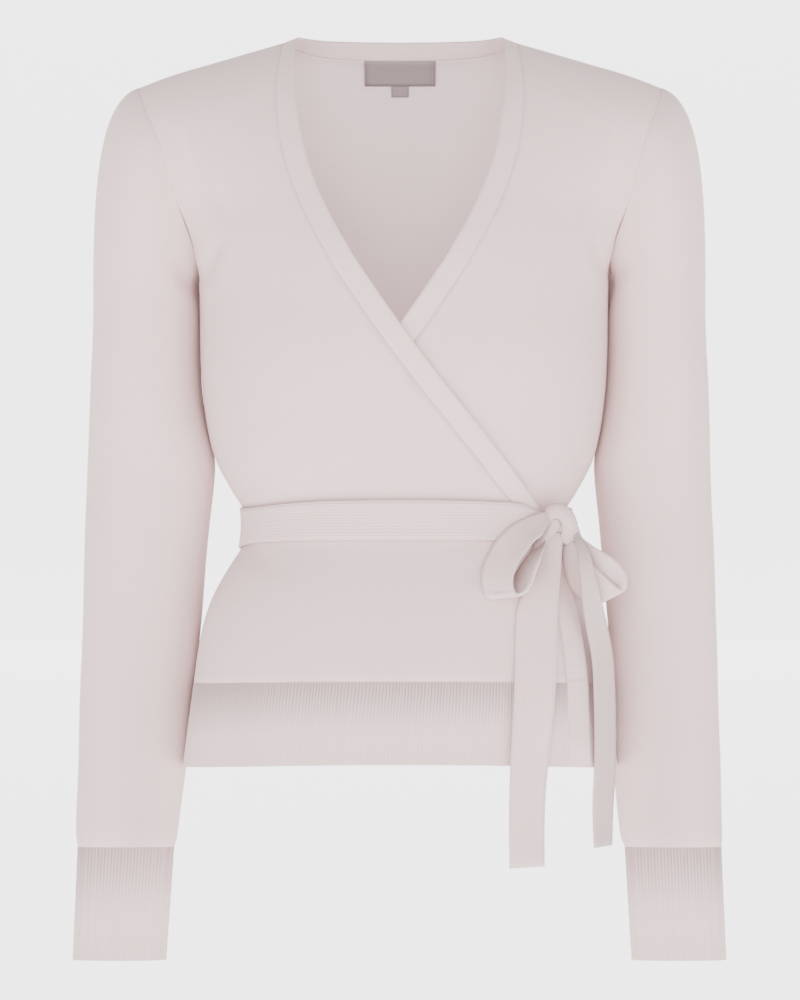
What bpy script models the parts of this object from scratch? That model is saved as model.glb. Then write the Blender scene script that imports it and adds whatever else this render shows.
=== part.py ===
"""Wrap cardigan, worn shape with nobody in it.

Metres, +Z up. The front faces -Y and the wearer's left side is at +X. The origin lies
between the shoulders, level with the shoulder seams at the neck. Every cloth piece is a
wall with its seam gaps; the body's pieces all lie on one surface, which is worked out
from a table of sections, and each piece takes its own share of it.
"""
import math
from collections import namedtuple

import bmesh
import bpy
import numpy as np

# Walls, seams and the wrap of one front over the other.
WALL = 0.002
GAP = 0.0003
OVERLAP_LIFT = 0.0034
LIFT_MARGIN = 0.06
LIFT_FADE_LEVEL = 0.75
UNDER_SINK = 0.0012
UNDER_SINK_REACH = 0.25

# The body's section is an oval that flattens towards the shoulders.
OVAL = 2.3
CHEST_OVAL = 2.6
CHEST_OVAL_LEVEL = 0.35
NORMAL_STEP = 0.004
TURN_STEPS = 25
COLUMN_CROWDING = 1.15

ARMPIT_Z = -0.175
HEM_Z = -0.551
HEM_RISE_AT_FRONT = 0.0045
BAND_WIDTH = 0.016
BAND_WIDTH_AT_NECK = 0.0098
BAND_DROP_AT_NECK = 0.0051
BAND_DROP_REACH = 0.030
BAND_WIDEN_REACH = 0.07
BAND_FOLLOW_LEVEL = 0.75
BAND_FOLLOW_FADE = 0.2
SHOULDER_TOP_SHARE = 0.985

# Rows of points, as levels of the body's surface, and columns of points.
PANEL_LEVELS = [-0.8298, -0.77, -0.70, -0.64, -0.59, -0.545, -0.50, -0.465, -0.43,
                -0.38, -0.31, -0.22, -0.11, 0.0, 0.05, 0.147, 0.30, 0.46, 0.62,
                0.76, 0.87, 0.95, SHOULDER_TOP_SHARE, 1.0]
HEM_LEVELS = [-1.0, -0.8308]
PANEL_COLUMNS = 15
HEM_COLUMNS = 35
HEM_LEFT_SHOWN = 8
BACK_PANEL_SPANS = (4, 6)
BACK_HEM_SPANS = (7, 12)
EDGE_POINTS = 91
CUFF_COLUMNS = 20
LOOP_ROWS_MADE = 31
TAIL_ROWS_MADE = 22

NECK_HALF = 0.0885
NECK_EDGE_HALF = 0.0787
NECK_BACK_DEPTH = 0.045
NECK_TOP_Z = 0.0097
NECK_TOP_DIP = 0.0020
NECK_SEAM_DIP_Z = -0.0054
BAND_LEAN = 0.006
BACK_NECK_TURN_LIMIT = 0.27

RIB_PITCH = 0.0025
RIB_DEPTH = 0.0006
BELT_WIDTH = 0.033
BELT_CLEAR = 0.0016
SLEEVE_CLEAR = 0.0007
SLEEVE_GAP = 0.0004
UNDERARM_OUT = 0.0014
UNDERARM_UP = 0.0004
SLEEVE_SQUARENESS = 0.92
CAP_SHARES = [0.0, 0.05, 0.13, 0.24, 0.37, 0.52, 0.68, 0.84]
CAP_OUT = 0.95
CAP_OUT_LOSS = 0.55
CAP_FORWARD = 0.35
CAP_DOWN = 0.28
CAP_DOWN_GAIN = 0.9
CAP_START_PULL = 0.20
CAP_START_PULL_GAIN = 0.05
CAP_END_PULL = 0.45
CAP_LEAN_START = 0.60
CAP_LEAN_FADE = 0.30

BodyRow = namedtuple("BodyRow", "z centre half_width front back")
BODY_ROWS = [
    BodyRow(-0.1750, 0.0030, 0.1570, 0.1160, 0.1080),
    BodyRow(-0.2000, 0.0030, 0.1570, 0.1190, 0.1080),
    BodyRow(-0.2350, 0.0030, 0.1565, 0.1180, 0.1060),
    BodyRow(-0.2750, 0.0030, 0.1535, 0.1130, 0.1020),
    BodyRow(-0.3050, 0.0032, 0.1480, 0.1070, 0.0970),
    BodyRow(-0.3250, 0.0034, 0.1410, 0.1020, 0.0935),
    BodyRow(-0.3400, 0.0034, 0.1305, 0.0965, 0.0900),
    BodyRow(-0.3500, 0.0032, 0.1218, 0.0945, 0.0885),
    BodyRow(-0.3640, 0.0030, 0.1205, 0.0940, 0.0880),
    BodyRow(-0.3800, 0.0030, 0.1210, 0.0945, 0.0885),
    BodyRow(-0.3930, 0.0030, 0.1290, 0.0975, 0.0915),
    BodyRow(-0.4120, 0.0030, 0.1420, 0.1025, 0.0965),
    BodyRow(-0.4320, 0.0028, 0.1510, 0.1070, 0.1020),
    BodyRow(-0.4550, 0.0024, 0.1562, 0.1105, 0.1065),
    BodyRow(-0.4870, 0.0014, 0.1598, 0.1130, 0.1095),
    BodyRow(-0.5510, 0.0000, 0.1668, 0.1155, 0.1125),
]

ChestRow = namedtuple("ChestRow", "share arm_x arm_depth front back")
CHEST_ROWS = [
    ChestRow(0.000, 0.1570, 0.0000, 0.1160, 0.1080),
    ChestRow(0.050, 0.1575, 0.0160, 0.1150, 0.1085),
    ChestRow(0.147, 0.1600, 0.0290, 0.1120, 0.1090),
    ChestRow(0.371, 0.1735, 0.0420, 0.0985, 0.1050),
    ChestRow(0.632, 0.1836, 0.0450, 0.0780, 0.0900),
    ChestRow(0.800, 0.1925, 0.0370, 0.0590, 0.0690),
    ChestRow(0.920, 0.1985, 0.0225, 0.0370, 0.0440),
    ChestRow(0.985, 0.2003, 0.0090, 0.0140, 0.0170),
    ChestRow(1.000, 0.2003, 0.0000, 0.0000, 0.0000),
]

ShoulderRow = namedtuple("ShoulderRow", "x z")
SHOULDER_ROWS = [
    ShoulderRow(0.0885, 0.0046),
    ShoulderRow(0.1400, -0.0103),
    ShoulderRow(0.1800, -0.0222),
    ShoulderRow(0.2003, -0.0300),
]

EdgeRow = namedtuple("EdgeRow", "z x")
FRONT_EDGE_ROWS = [
    EdgeRow(0.0097, -0.0787),
    EdgeRow(-0.0056, -0.0808),
    EdgeRow(-0.0290, -0.0808),
    EdgeRow(-0.0600, -0.0764),
    EdgeRow(-0.0884, -0.0702),
    EdgeRow(-0.1278, -0.0541),
    EdgeRow(-0.1713, -0.0291),
    EdgeRow(-0.2137, 0.0004),
    EdgeRow(-0.2567, 0.0328),
    EdgeRow(-0.3034, 0.0699),
    EdgeRow(-0.3480, 0.1019),
    EdgeRow(-0.3920, 0.1215),
    EdgeRow(-0.4368, 0.1345),
    EdgeRow(-0.4756, 0.1400),
    EdgeRow(-0.5145, 0.1420),
    EdgeRow(-0.5600, 0.1425),
]

SleeveRow = namedtuple("SleeveRow", "z inner_r outer_r inner_l outer_l back half_depth")
SLEEVE_ROWS = [
    SleeveRow(-0.2125, 0.1560, 0.2362, 0.1615, 0.2352, 0.004, 0.0430),
    SleeveRow(-0.2520, 0.1560, 0.2380, 0.1610, 0.2372, 0.006, 0.0425),
    SleeveRow(-0.2880, 0.1500, 0.2394, 0.1560, 0.2385, 0.009, 0.0415),
    SleeveRow(-0.3157, 0.1428, 0.2406, 0.1498, 0.2391, 0.012, 0.0405),
    SleeveRow(-0.3542, 0.1459, 0.2422, 0.1528, 0.2406, 0.015, 0.0385),
    SleeveRow(-0.3927, 0.1498, 0.2437, 0.1563, 0.2426, 0.018, 0.0365),
    SleeveRow(-0.4312, 0.1528, 0.2445, 0.1598, 0.2437, 0.021, 0.0345),
    SleeveRow(-0.4697, 0.1567, 0.2460, 0.1628, 0.2452, 0.024, 0.0320),
    SleeveRow(-0.5082, 0.1613, 0.2476, 0.1636, 0.2460, 0.026, 0.0295),
    SleeveRow(-0.5467, 0.1648, 0.2483, 0.1648, 0.2476, 0.026, 0.0270),
    SleeveRow(-0.5852, 0.1698, 0.2499, 0.1682, 0.2483, 0.025, 0.0240),
    SleeveRow(-0.6045, 0.1722, 0.2501, 0.1705, 0.2488, 0.024, 0.0222),
    SleeveRow(-0.6140, 0.1744, 0.2491, 0.1736, 0.2483, 0.024, 0.0200),
]
CUFF_ROWS = [
    SleeveRow(-0.6143, 0.1745, 0.2492, 0.1737, 0.2484, 0.024, 0.0195),
    SleeveRow(-0.7015, 0.1806, 0.2530, 0.1790, 0.2522, 0.024, 0.0178),
]

# A strap's row is a point of its near edge and the step from there to its far edge.
StrapRow = namedtuple("StrapRow", "x y z wide_x wide_y wide_z")
LOOP_LEFT_ROWS = [
    StrapRow(0.1148, -0.0670, -0.3630, -0.0018, 0.0024, 0.0075),
    StrapRow(0.1075, -0.0870, -0.3690, -0.0075, 0.0120, 0.0105),
    StrapRow(0.0985, -0.1020, -0.3790, -0.0150, 0.0200, 0.0120),
    StrapRow(0.0900, -0.1120, -0.3915, -0.0200, 0.0235, 0.0090),
    StrapRow(0.0850, -0.1180, -0.4050, -0.0225, 0.0240, 0.0040),
    StrapRow(0.0858, -0.1210, -0.4145, -0.0225, 0.0240, -0.0010),
    StrapRow(0.0900, -0.1225, -0.4180, -0.0225, 0.0240, -0.0030),
    StrapRow(0.0965, -0.1210, -0.4140, -0.0200, 0.0240, -0.0040),
    StrapRow(0.1010, -0.1150, -0.4040, -0.0160, 0.0220, -0.0030),
    StrapRow(0.1065, -0.1040, -0.3890, -0.0100, 0.0160, -0.0010),
    StrapRow(0.1124, -0.0680, -0.3740, -0.0030, 0.0035, -0.0010),
]
LOOP_RIGHT_ROWS = [
    StrapRow(0.1342, -0.0610, -0.3650, -0.0010, 0.0030, -0.0040),
    StrapRow(0.1402, -0.0645, -0.3755, -0.0045, 0.0070, -0.0090),
    StrapRow(0.1479, -0.0735, -0.3830, -0.0103, 0.0140, -0.0165),
    StrapRow(0.1570, -0.0775, -0.3879, -0.0148, 0.0165, -0.0218),
    StrapRow(0.1653, -0.0780, -0.3944, -0.0171, 0.0165, -0.0215),
    StrapRow(0.1714, -0.0780, -0.4043, -0.0171, 0.0162, -0.0154),
    StrapRow(0.1703, -0.0770, -0.4153, -0.0160, 0.0150, -0.0086),
    StrapRow(0.1634, -0.0765, -0.4119, -0.0167, 0.0145, -0.0139),
    StrapRow(0.1559, -0.0760, -0.4054, -0.0183, 0.0140, -0.0165),
    StrapRow(0.1471, -0.0755, -0.3971, -0.0176, 0.0135, -0.0142),
    StrapRow(0.1388, -0.0735, -0.3887, -0.0135, 0.0115, -0.0081),
    StrapRow(0.1326, -0.0685, -0.3829, -0.0055, 0.0065, -0.0030),
]
TAIL_LEFT_ROWS = [
    StrapRow(0.1150, -0.0650, -0.3838, 0.0085, 0.0010, 0.0000),
    StrapRow(0.1040, -0.0800, -0.4000, 0.0185, 0.0030, 0.0010),
    StrapRow(0.0905, -0.0935, -0.4230, 0.0295, 0.0070, 0.0000),
    StrapRow(0.0876, -0.1000, -0.4450, 0.0318, 0.0080, 0.0000),
    StrapRow(0.0870, -0.1060, -0.4700, 0.0317, 0.0085, 0.0000),
    StrapRow(0.0858, -0.1115, -0.5050, 0.0307, 0.0100, 0.0000),
    StrapRow(0.0840, -0.1130, -0.5400, 0.0285, 0.0130, 0.0000),
    StrapRow(0.0830, -0.1130, -0.5800, 0.0262, 0.0165, 0.0000),
    StrapRow(0.0833, -0.1125, -0.6250, 0.0256, 0.0180, 0.0010),
]
TAIL_RIGHT_ROWS = [
    StrapRow(0.1316, -0.0658, -0.3716, 0.0020, 0.0030, 0.0030),
    StrapRow(0.1352, -0.0840, -0.3880, 0.0080, 0.0035, 0.0020),
    StrapRow(0.1372, -0.0880, -0.4080, 0.0120, 0.0060, 0.0010),
    StrapRow(0.1395, -0.0860, -0.4250, 0.0145, 0.0110, 0.0000),
    StrapRow(0.1433, -0.0790, -0.4450, 0.0150, 0.0190, 0.0000),
    StrapRow(0.1470, -0.0715, -0.4680, 0.0152, 0.0265, 0.0000),
    StrapRow(0.1485, -0.0680, -0.5000, 0.0155, 0.0290, 0.0000),
    StrapRow(0.1488, -0.0665, -0.5450, 0.0155, 0.0290, 0.0000),
    StrapRow(0.1475, -0.0655, -0.5800, 0.0150, 0.0292, 0.0000),
    StrapRow(0.1485, -0.0650, -0.6115, 0.0130, 0.0300, 0.0010),
]

KNOT_CENTRE = (0.1236, -0.0606, -0.3665)
KNOT_SIZE = (0.0180, 0.0150, 0.0270)
WRAP_WIDTH = 0.0150
STRAP_CLEAR = 0.0018
BELT_Z = -0.3625
BELT_SIDE_DROP = 0.0050
BELT_START_TURN = 0.63
BELT_END_TURN = 0.71
BELT_FRONT_ROWS = 19
BELT_BACK_ROWS = 25
BELT_SHORT_ROWS = 4
BELT_PINCH = 0.45
BELT_PINCH_LONG = 2.2
BELT_PINCH_SHORT = 1.5
WRAP_TURN = 0.58 * math.pi
WRAP_ROWS = 13
WRAP_LEAN = 0.0036
WRAP_NARROW = 0.80
WRAP_EDGE_BACK = 0.0012
KNOT_SEGMENTS = 16
KNOT_RINGS = 10

LABEL_X = (-0.0277, 0.0277)
LABEL_Z = (-0.0262, -0.0072)
TAB_X = (-0.0067, 0.0067)
TAB_Z = (-0.0345, -0.0266)
LABEL_THICKNESS = 0.001
LABEL_STAND = WALL + LABEL_THICKNESS + 0.0009

CLOTH_COLOUR = (0.670, 0.618, 0.610, 1.0)
LABEL_COLOUR = (0.356, 0.301, 0.323, 1.0)


def smooth_lookup(rows, key, value, column):
    """Read one column of a table at a value of its key, on a smooth curve through the rows."""
    keys = np.array([getattr(row, key) for row in rows])
    heights = np.array([getattr(row, column) for row in rows])
    if keys[0] > keys[-1]:
        keys = keys[::-1]
        heights = heights[::-1]
    value = min(max(value, keys[0]), keys[-1])
    index = min(max(int(np.searchsorted(keys, value)) - 1, 0), len(keys) - 2)
    slopes = np.gradient(heights, keys)
    step = keys[index + 1] - keys[index]
    share = (value - keys[index]) / step
    rise = share * share * (3 - 2 * share)
    start_pull = share * (1 - share) ** 2 * step * slopes[index]
    end_pull = share * share * (1 - share) * step * slopes[index + 1]
    return heights[index] * (1 - rise) + heights[index + 1] * rise + start_pull - end_pull


def ease(value):
    """Rise smoothly from 0 to 1."""
    value = min(max(value, 0.0), 1.0)
    return value * value * (3 - 2 * value)


def smooth_path(points, count):
    """Points of a Catmull-Rom curve through the given points, evenly counted."""
    points = np.asarray(points, dtype=float)
    padded = np.vstack([2 * points[0] - points[1], points, 2 * points[-1] - points[-2]])
    result = []
    for place in np.linspace(0, len(points) - 1, count):
        index = min(int(place), len(points) - 2)
        share = place - index
        before, start, end, after = padded[index:index + 4]
        result.append(0.5 * (2 * start + (end - before) * share
                             + (2 * before - 5 * start + 4 * end - after) * share ** 2
                             + (3 * start - before - 3 * end + after) * share ** 3))
    return np.array(result)


def shoulder_z(x):
    """Height of the top edge of the back and fronts at x."""
    reach = abs(x)
    if reach >= NECK_HALF:
        return smooth_lookup(SHOULDER_ROWS, "x", reach, "z")
    rise = SHOULDER_ROWS[0].z - NECK_SEAM_DIP_Z
    return NECK_SEAM_DIP_Z + rise * (reach / NECK_HALF) ** 4


def neck_back_depth(x):
    """How far behind the shoulder line the back neck seam lies at x."""
    reach = min(abs(x) / NECK_HALF, 1.0)
    return NECK_BACK_DEPTH * math.sqrt(1 - reach ** 2)


def body_point(side, turn, level):
    """A point of the body's surface.

    side is -1 for the front and 1 for the back, turn runs from -1 at the wearer's right
    side to 1 at the left, and level runs from -1 at the hem over 0 at the armpits to 1 at
    the shoulder seam.
    """
    angle = turn * math.pi / 2
    reach = abs(math.sin(angle)) ** (2 / OVAL) * (1 if turn >= 0 else -1)
    bulge = max(math.cos(angle), 0.0) ** (2 / OVAL)
    depth_name = "front" if side < 0 else "back"
    if level <= 0:
        z = ARMPIT_Z + level * (ARMPIT_Z - HEM_Z)
        x = smooth_lookup(BODY_ROWS, "z", z, "centre")
        x += reach * smooth_lookup(BODY_ROWS, "z", z, "half_width")
        depth = smooth_lookup(BODY_ROWS, "z", z, depth_name) * bulge
        if side < 0:
            z += HEM_RISE_AT_FRONT * level ** 2 * math.cos(angle) ** 2
        return np.array([x, side * depth, z])
    x = BODY_ROWS[0].centre * (1 - level)
    x += reach * smooth_lookup(CHEST_ROWS, "share", level, "arm_x")
    arm_depth = smooth_lookup(CHEST_ROWS, "share", level, "arm_depth")
    depth = smooth_lookup(CHEST_ROWS, "share", level, depth_name)
    flatness = ease(level / CHEST_OVAL_LEVEL)
    bulge = (1 - flatness) * bulge + flatness * (1 - abs(reach) ** CHEST_OVAL)
    depth = arm_depth + (depth - arm_depth) * bulge
    if side > 0:
        depth = math.hypot(depth, neck_back_depth(x) * level)
    climb = min(level / SHOULDER_TOP_SHARE, 1.0)
    z = ARMPIT_Z + climb * (shoulder_z(x) - ARMPIT_Z)
    return np.array([x, side * depth, z])


def body_normal(side, turn, level):
    """The outward direction of the body's surface."""
    low = max(turn - NORMAL_STEP, -1.0)
    high = min(turn + NORMAL_STEP, 1.0)
    below = max(level - NORMAL_STEP, -1.0)
    above = min(level + NORMAL_STEP, SHOULDER_TOP_SHARE if level < SHOULDER_TOP_SHARE else 1.0)
    if level >= SHOULDER_TOP_SHARE:
        return np.array([0.0, 0.0, 1.0])
    across = body_point(side, high, level) - body_point(side, low, level)
    upward = body_point(side, turn, above) - body_point(side, turn, below)
    normal = np.cross(across, upward) * (-side)
    return normal / np.linalg.norm(normal)


def body_place(x, z):
    """The turn and level of the body's surface that stand at x and z."""
    if z <= ARMPIT_Z:
        level = (z - ARMPIT_Z) / (ARMPIT_Z - HEM_Z)
        centre = smooth_lookup(BODY_ROWS, "z", z, "centre")
        half = smooth_lookup(BODY_ROWS, "z", z, "half_width")
    else:
        level = (z - ARMPIT_Z) / (shoulder_z(x) - ARMPIT_Z) * SHOULDER_TOP_SHARE
        level = min(level, 1.0)
        centre = BODY_ROWS[0].centre * (1 - level)
        half = smooth_lookup(CHEST_ROWS, "share", level, "arm_x")
    reach = min(abs(x - centre) / half, 1.0)
    turn = math.asin(reach ** (OVAL / 2)) / (math.pi / 2)
    return math.copysign(turn, x - centre), level


def edge_curve():
    """Front edge and band seam as two matching lists of x, z points, from neck to hem."""
    edge = smooth_path([(row.x, row.z) for row in FRONT_EDGE_ROWS], EDGE_POINTS)
    along = np.gradient(edge, axis=0)
    along /= np.linalg.norm(along, axis=1)[:, None]
    outward = np.stack([along[:, 1], -along[:, 0]], axis=1)
    widths = np.array([BAND_WIDTH_AT_NECK + (BAND_WIDTH - BAND_WIDTH_AT_NECK)
                       * ease((NECK_TOP_Z - z) / BAND_WIDEN_REACH) for z in edge[:, 1]])
    drops = np.array([BAND_DROP_AT_NECK * (1 - ease((NECK_TOP_Z - z) / BAND_DROP_REACH))
                      for z in edge[:, 1]])
    seam = edge + outward * widths[:, None]
    seam[:, 1] -= drops
    return edge, seam


def curve_x(curve, z):
    """x of a neck-to-hem curve at height z."""
    return float(np.interp(z, curve[::-1, 1], curve[::-1, 0]))


def turn_at_curve(curve, level):
    """The turn at which a row of the front's surface meets a neck-to-hem curve."""
    z = ARMPIT_Z + level * (ARMPIT_Z - HEM_Z)
    turn = 0.0
    for _ in range(TURN_STEPS):
        if level > 0:
            z = body_point(-1, turn, level)[2]
        turn = body_place(curve_x(curve, z), z)[0]
    return turn


def overlap_lift(turn, level, edge):
    """How far the upper front stands off, so that the lower one fits beneath it."""
    hidden = turn_at_curve(edge * (-1, 1), level)
    inward = ease((turn + 1) / (hidden + 1 - LIFT_MARGIN))
    return OVERLAP_LIFT * inward * (1 - ease(level / LIFT_FADE_LEVEL))


class Front:
    """One front's share of the body's surface: mirror is 1 for the upper, wearer's right."""

    def __init__(self, mirror):
        self.mirror = mirror
        self.edge, self.seam = edge_curve()

    def point(self, turn, level):
        """A point of this front, given as on the wearer's right side."""
        actual = turn * self.mirror
        lift = self.lift(turn, level)
        return body_point(-1, actual, level) + body_normal(-1, actual, level) * lift

    def lift(self, turn, level):
        """How far this front stands off the body's surface."""
        if self.mirror > 0:
            return overlap_lift(turn, level, self.edge)
        covered = turn_at_curve(self.edge, min(level, 0.0))
        return -UNDER_SINK * ease((turn + covered) / UNDER_SINK_REACH) * (level < 0)

    def band_row(self, level):
        """Seam, middle and edge points of the band, level with a row of the panel."""
        turn = self.seam_turn(level)
        seam = self.point(turn, level)
        place = float(np.interp(-seam[2], -self.seam[:, 1], np.arange(len(self.seam))))
        edge = np.array([np.interp(place, np.arange(len(self.edge)), self.edge[:, axis])
                         for axis in (0, 1)])
        row = [seam]
        normals = [body_normal(-1, turn * self.mirror, level)]
        for share in (0.5, 1.0):
            x = seam[0] * self.mirror * (1 - share) + edge[0] * share
            z = seam[2] * (1 - share) + edge[1] * share
            own_turn, own_level = body_place(x * self.mirror, z)
            follow = 1 - ease((level - BAND_FOLLOW_LEVEL) / BAND_FOLLOW_FADE)
            used = level + (own_level - level) * follow
            base = body_point(-1, own_turn, used)
            normal = body_normal(-1, own_turn, used)
            base = np.array([x * self.mirror, base[1], z])
            row.append(base + normal * self.lift(own_turn * self.mirror, used))
            normals.append(normal)
        return row, normals

    def seam_turn(self, level):
        """The turn of the band seam in a row, given as on the wearer's right side."""
        return turn_at_curve(self.seam * (self.mirror, 1), level) * self.mirror


def turn_shares(count, start, end):
    """Turns from start to end, a little closer together near the start."""
    return [start + (end - start) * share ** COLUMN_CROWDING
            for share in np.linspace(0, 1, count)]


def pull_apart(grid, column, side):
    """Set a column of points back from the side seam by half a gap."""
    grid[:, column, 1] = np.where(np.abs(grid[:, column, 1]) < GAP,
                                  side * GAP / 2, grid[:, column, 1])


def front_grid(front, levels, columns):
    """Rows of points of one front, from its side seam or armhole to the band seam."""
    rows = []
    leans = []
    for level in levels:
        end = front.seam_turn(level)
        turns = turn_shares(columns, -1.0, end)
        row = [front.point(turn, level) for turn in turns]
        shift = row[-2] - row[-1]
        row[-1] = row[-1] + shift * (GAP / np.linalg.norm(shift))
        rows.append(row)
        leans.append([body_normal(-1, turn * front.mirror, level) for turn in turns])
    grid = np.array(rows)
    pull_apart(grid, 0, -1)
    if levels[-1] == 1.0:
        grid[-1, :, 1] = -GAP / 2
    return grid, np.array(leans)


def back_turns(neck_spans, shoulder_spans):
    """Turns of the back's columns, with one at each end of the back neck."""
    neck_turn = body_place(NECK_HALF, SHOULDER_ROWS[0].z)[0]
    neck = [neck_turn * share / neck_spans for share in range(neck_spans)]
    shoulder = [neck_turn + (1 - neck_turn) * share / shoulder_spans
                for share in range(shoulder_spans + 1)]
    half = neck + shoulder
    return [-turn for turn in half[:0:-1]] + half


def back_grid(levels, turns):
    """Rows of points of the back, from the wearer's right to the left, and their normals."""
    grid = np.array([[body_point(1, turn, level) for turn in turns] for level in levels])
    leans = np.array([[body_normal(1, turn, level) for turn in turns] for level in levels])
    pull_apart(grid, 0, 1)
    pull_apart(grid, -1, 1)
    if levels[-1] == 1.0:
        grid[-1, :, 1] = np.maximum(grid[-1, :, 1], GAP / 2)
    return grid, leans


def grid_normals(grid, closed=False):
    """Unit normals of a grid of points, rows by columns."""
    if closed:
        across = np.roll(grid, -1, axis=1) - np.roll(grid, 1, axis=1)
    else:
        across = np.gradient(grid, axis=1)
    along = np.gradient(grid, axis=0)
    normals = np.cross(across, along)
    return normals / np.maximum(np.linalg.norm(normals, axis=2)[:, :, None], 1e-12)


def make_material(name, colour, roughness):
    """A matt cloth finish."""
    material = bpy.data.materials.new(name)
    material.use_nodes = True
    shader = material.node_tree.nodes["Principled BSDF"]
    shader.inputs["Base Color"].default_value = colour
    shader.inputs["Roughness"].default_value = roughness
    shader.inputs["Metallic"].default_value = 0.0
    material.diffuse_color = colour
    return material


class Workshop:
    """Holds the collections and turns points into named objects."""

    def __init__(self):
        for item in list(bpy.data.objects):
            bpy.data.objects.remove(item, do_unlink=True)
        self.parts = bpy.data.collections.new("wrap_cardigan")
        bpy.context.scene.collection.children.link(self.parts)

    def add(self, name, mesh, colour=CLOTH_COLOUR, roughness=0.9):
        """Put a mesh in the part's collection as a smooth object with its own material."""
        mesh.shade_smooth()
        thing = bpy.data.objects.new(name, mesh)
        mesh.materials.append(make_material(name, colour, roughness))
        self.parts.objects.link(thing)
        return thing

    def sheet(self, name, grid, closed=False, thickness=WALL, offset=-1.0,
              colour=CLOTH_COLOUR):
        """A wall: an open surface over a grid of points, thickened by Solidify."""
        rows, columns = grid.shape[:2]
        mesh = bpy.data.meshes.new(name)
        spans = columns if closed else columns - 1
        faces = []
        for row in range(rows - 1):
            for column in range(spans):
                beside = (column + 1) % columns
                faces.append((row * columns + column, row * columns + beside,
                              (row + 1) * columns + beside, (row + 1) * columns + column))
        mesh.from_pydata(grid.reshape(-1, 3).tolist(), [], faces)
        thing = self.add(name, mesh, colour)
        solidify = thing.modifiers.new("thickness", 'SOLIDIFY')
        solidify.thickness = thickness
        solidify.offset = offset
        solidify.use_even_offset = False
        return thing

    def wall(self, name, grid, normals, ribs=None, closed=False):
        """A wall between outer points and a plain inside, with raised ribs if it has them.

        grid holds the outer points and normals their outward directions, which two pieces
        share at a seam. ribs gives for each span between the columns how many ribs it
        carries; a span with none stays plain.
        """
        inner = grid - normals * WALL
        rows, columns = grid.shape[:2]
        spans = columns if closed else columns - 1
        ribs = ribs or [0] * spans
        outer_columns = []
        span_ends = []
        for span in range(spans):
            beside = (span + 1) % columns
            steps = max(2 * ribs[span], 1)
            for step in range(steps):
                share = step / steps
                points = grid[:, span] * (1 - share) + grid[:, beside] * share
                lean = normals[:, span] * (1 - share) + normals[:, beside] * share
                sink = RIB_DEPTH if ribs[span] and step % 2 == 0 else 0.0
                outer_columns.append(points - lean * sink)
            span_ends.append(len(outer_columns))
        if not closed:
            outer_columns.append(grid[:, -1])
        outer = np.array(outer_columns)
        work = bmesh.new()
        outer_verts = [[work.verts.new(point) for point in column] for column in outer]
        inner_verts = [[work.verts.new(point) for point in inner[:, column]]
                       for column in range(columns)]
        total = len(outer_verts)
        for column in range(total if closed else total - 1):
            left = outer_verts[column]
            right = outer_verts[(column + 1) % total]
            for row in range(rows - 1):
                work.faces.new((left[row], right[row], right[row + 1], left[row + 1]))
        for span in range(spans):
            left = inner_verts[span]
            right = inner_verts[(span + 1) % columns]
            start = span_ends[span - 1] if span else 0
            shown = [outer_verts[place % total] for place in range(start, span_ends[span] + 1)]
            for row in range(rows - 1):
                work.faces.new((left[row], left[row + 1], right[row + 1], right[row]))
            for row in (0, rows - 1):
                rim = [column[row] for column in shown] + [right[row], left[row]]
                work.faces.new(rim)
        if not closed:
            for outer_end, inner_end in ((outer_verts[0], inner_verts[0]),
                                         (outer_verts[-1], inner_verts[-1])):
                for row in range(rows - 1):
                    work.faces.new((outer_end[row], outer_end[row + 1],
                                    inner_end[row + 1], inner_end[row]))
        bmesh.ops.recalc_face_normals(work, faces=work.faces)
        mesh = bpy.data.meshes.new(name)
        work.to_mesh(mesh)
        work.free()
        return self.add(name, mesh)


def rib_counts(grid, closed=False, shown=None):
    """Whole ribs of about one pitch for each span of a grid's middle row."""
    row = grid[len(grid) // 2]
    ends = np.roll(row, -1, axis=0) if closed else row[1:]
    starts = row if closed else row[:-1]
    lengths = np.linalg.norm(ends - starts, axis=1)
    counts = [max(1, round(length / RIB_PITCH)) for length in lengths]
    if shown is None:
        return counts
    return [count if span < shown else 0 for span, count in enumerate(counts)]


def make_body(shop):
    """Back, both fronts and their ribbed hems."""
    right = Front(1)
    left = Front(-1)
    shop.wall("back_panel", *back_grid(PANEL_LEVELS, back_turns(*BACK_PANEL_SPANS)))
    shop.wall("front_right", *front_grid(right, PANEL_LEVELS, PANEL_COLUMNS))
    shop.wall("front_left", *front_grid(left, PANEL_LEVELS, PANEL_COLUMNS))
    hem_back = back_grid(HEM_LEVELS, back_turns(*BACK_HEM_SPANS))
    hem_right = front_grid(right, HEM_LEVELS, HEM_COLUMNS)
    hem_left = front_grid(left, HEM_LEVELS, HEM_COLUMNS)
    shop.wall("hem_back", *hem_back, ribs=rib_counts(hem_back[0]))
    shop.wall("hem_right", *hem_right, ribs=rib_counts(hem_right[0]))
    shop.wall("hem_left", *hem_left, ribs=rib_counts(hem_left[0], shown=HEM_LEFT_SHOWN))
    return right, left


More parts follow.
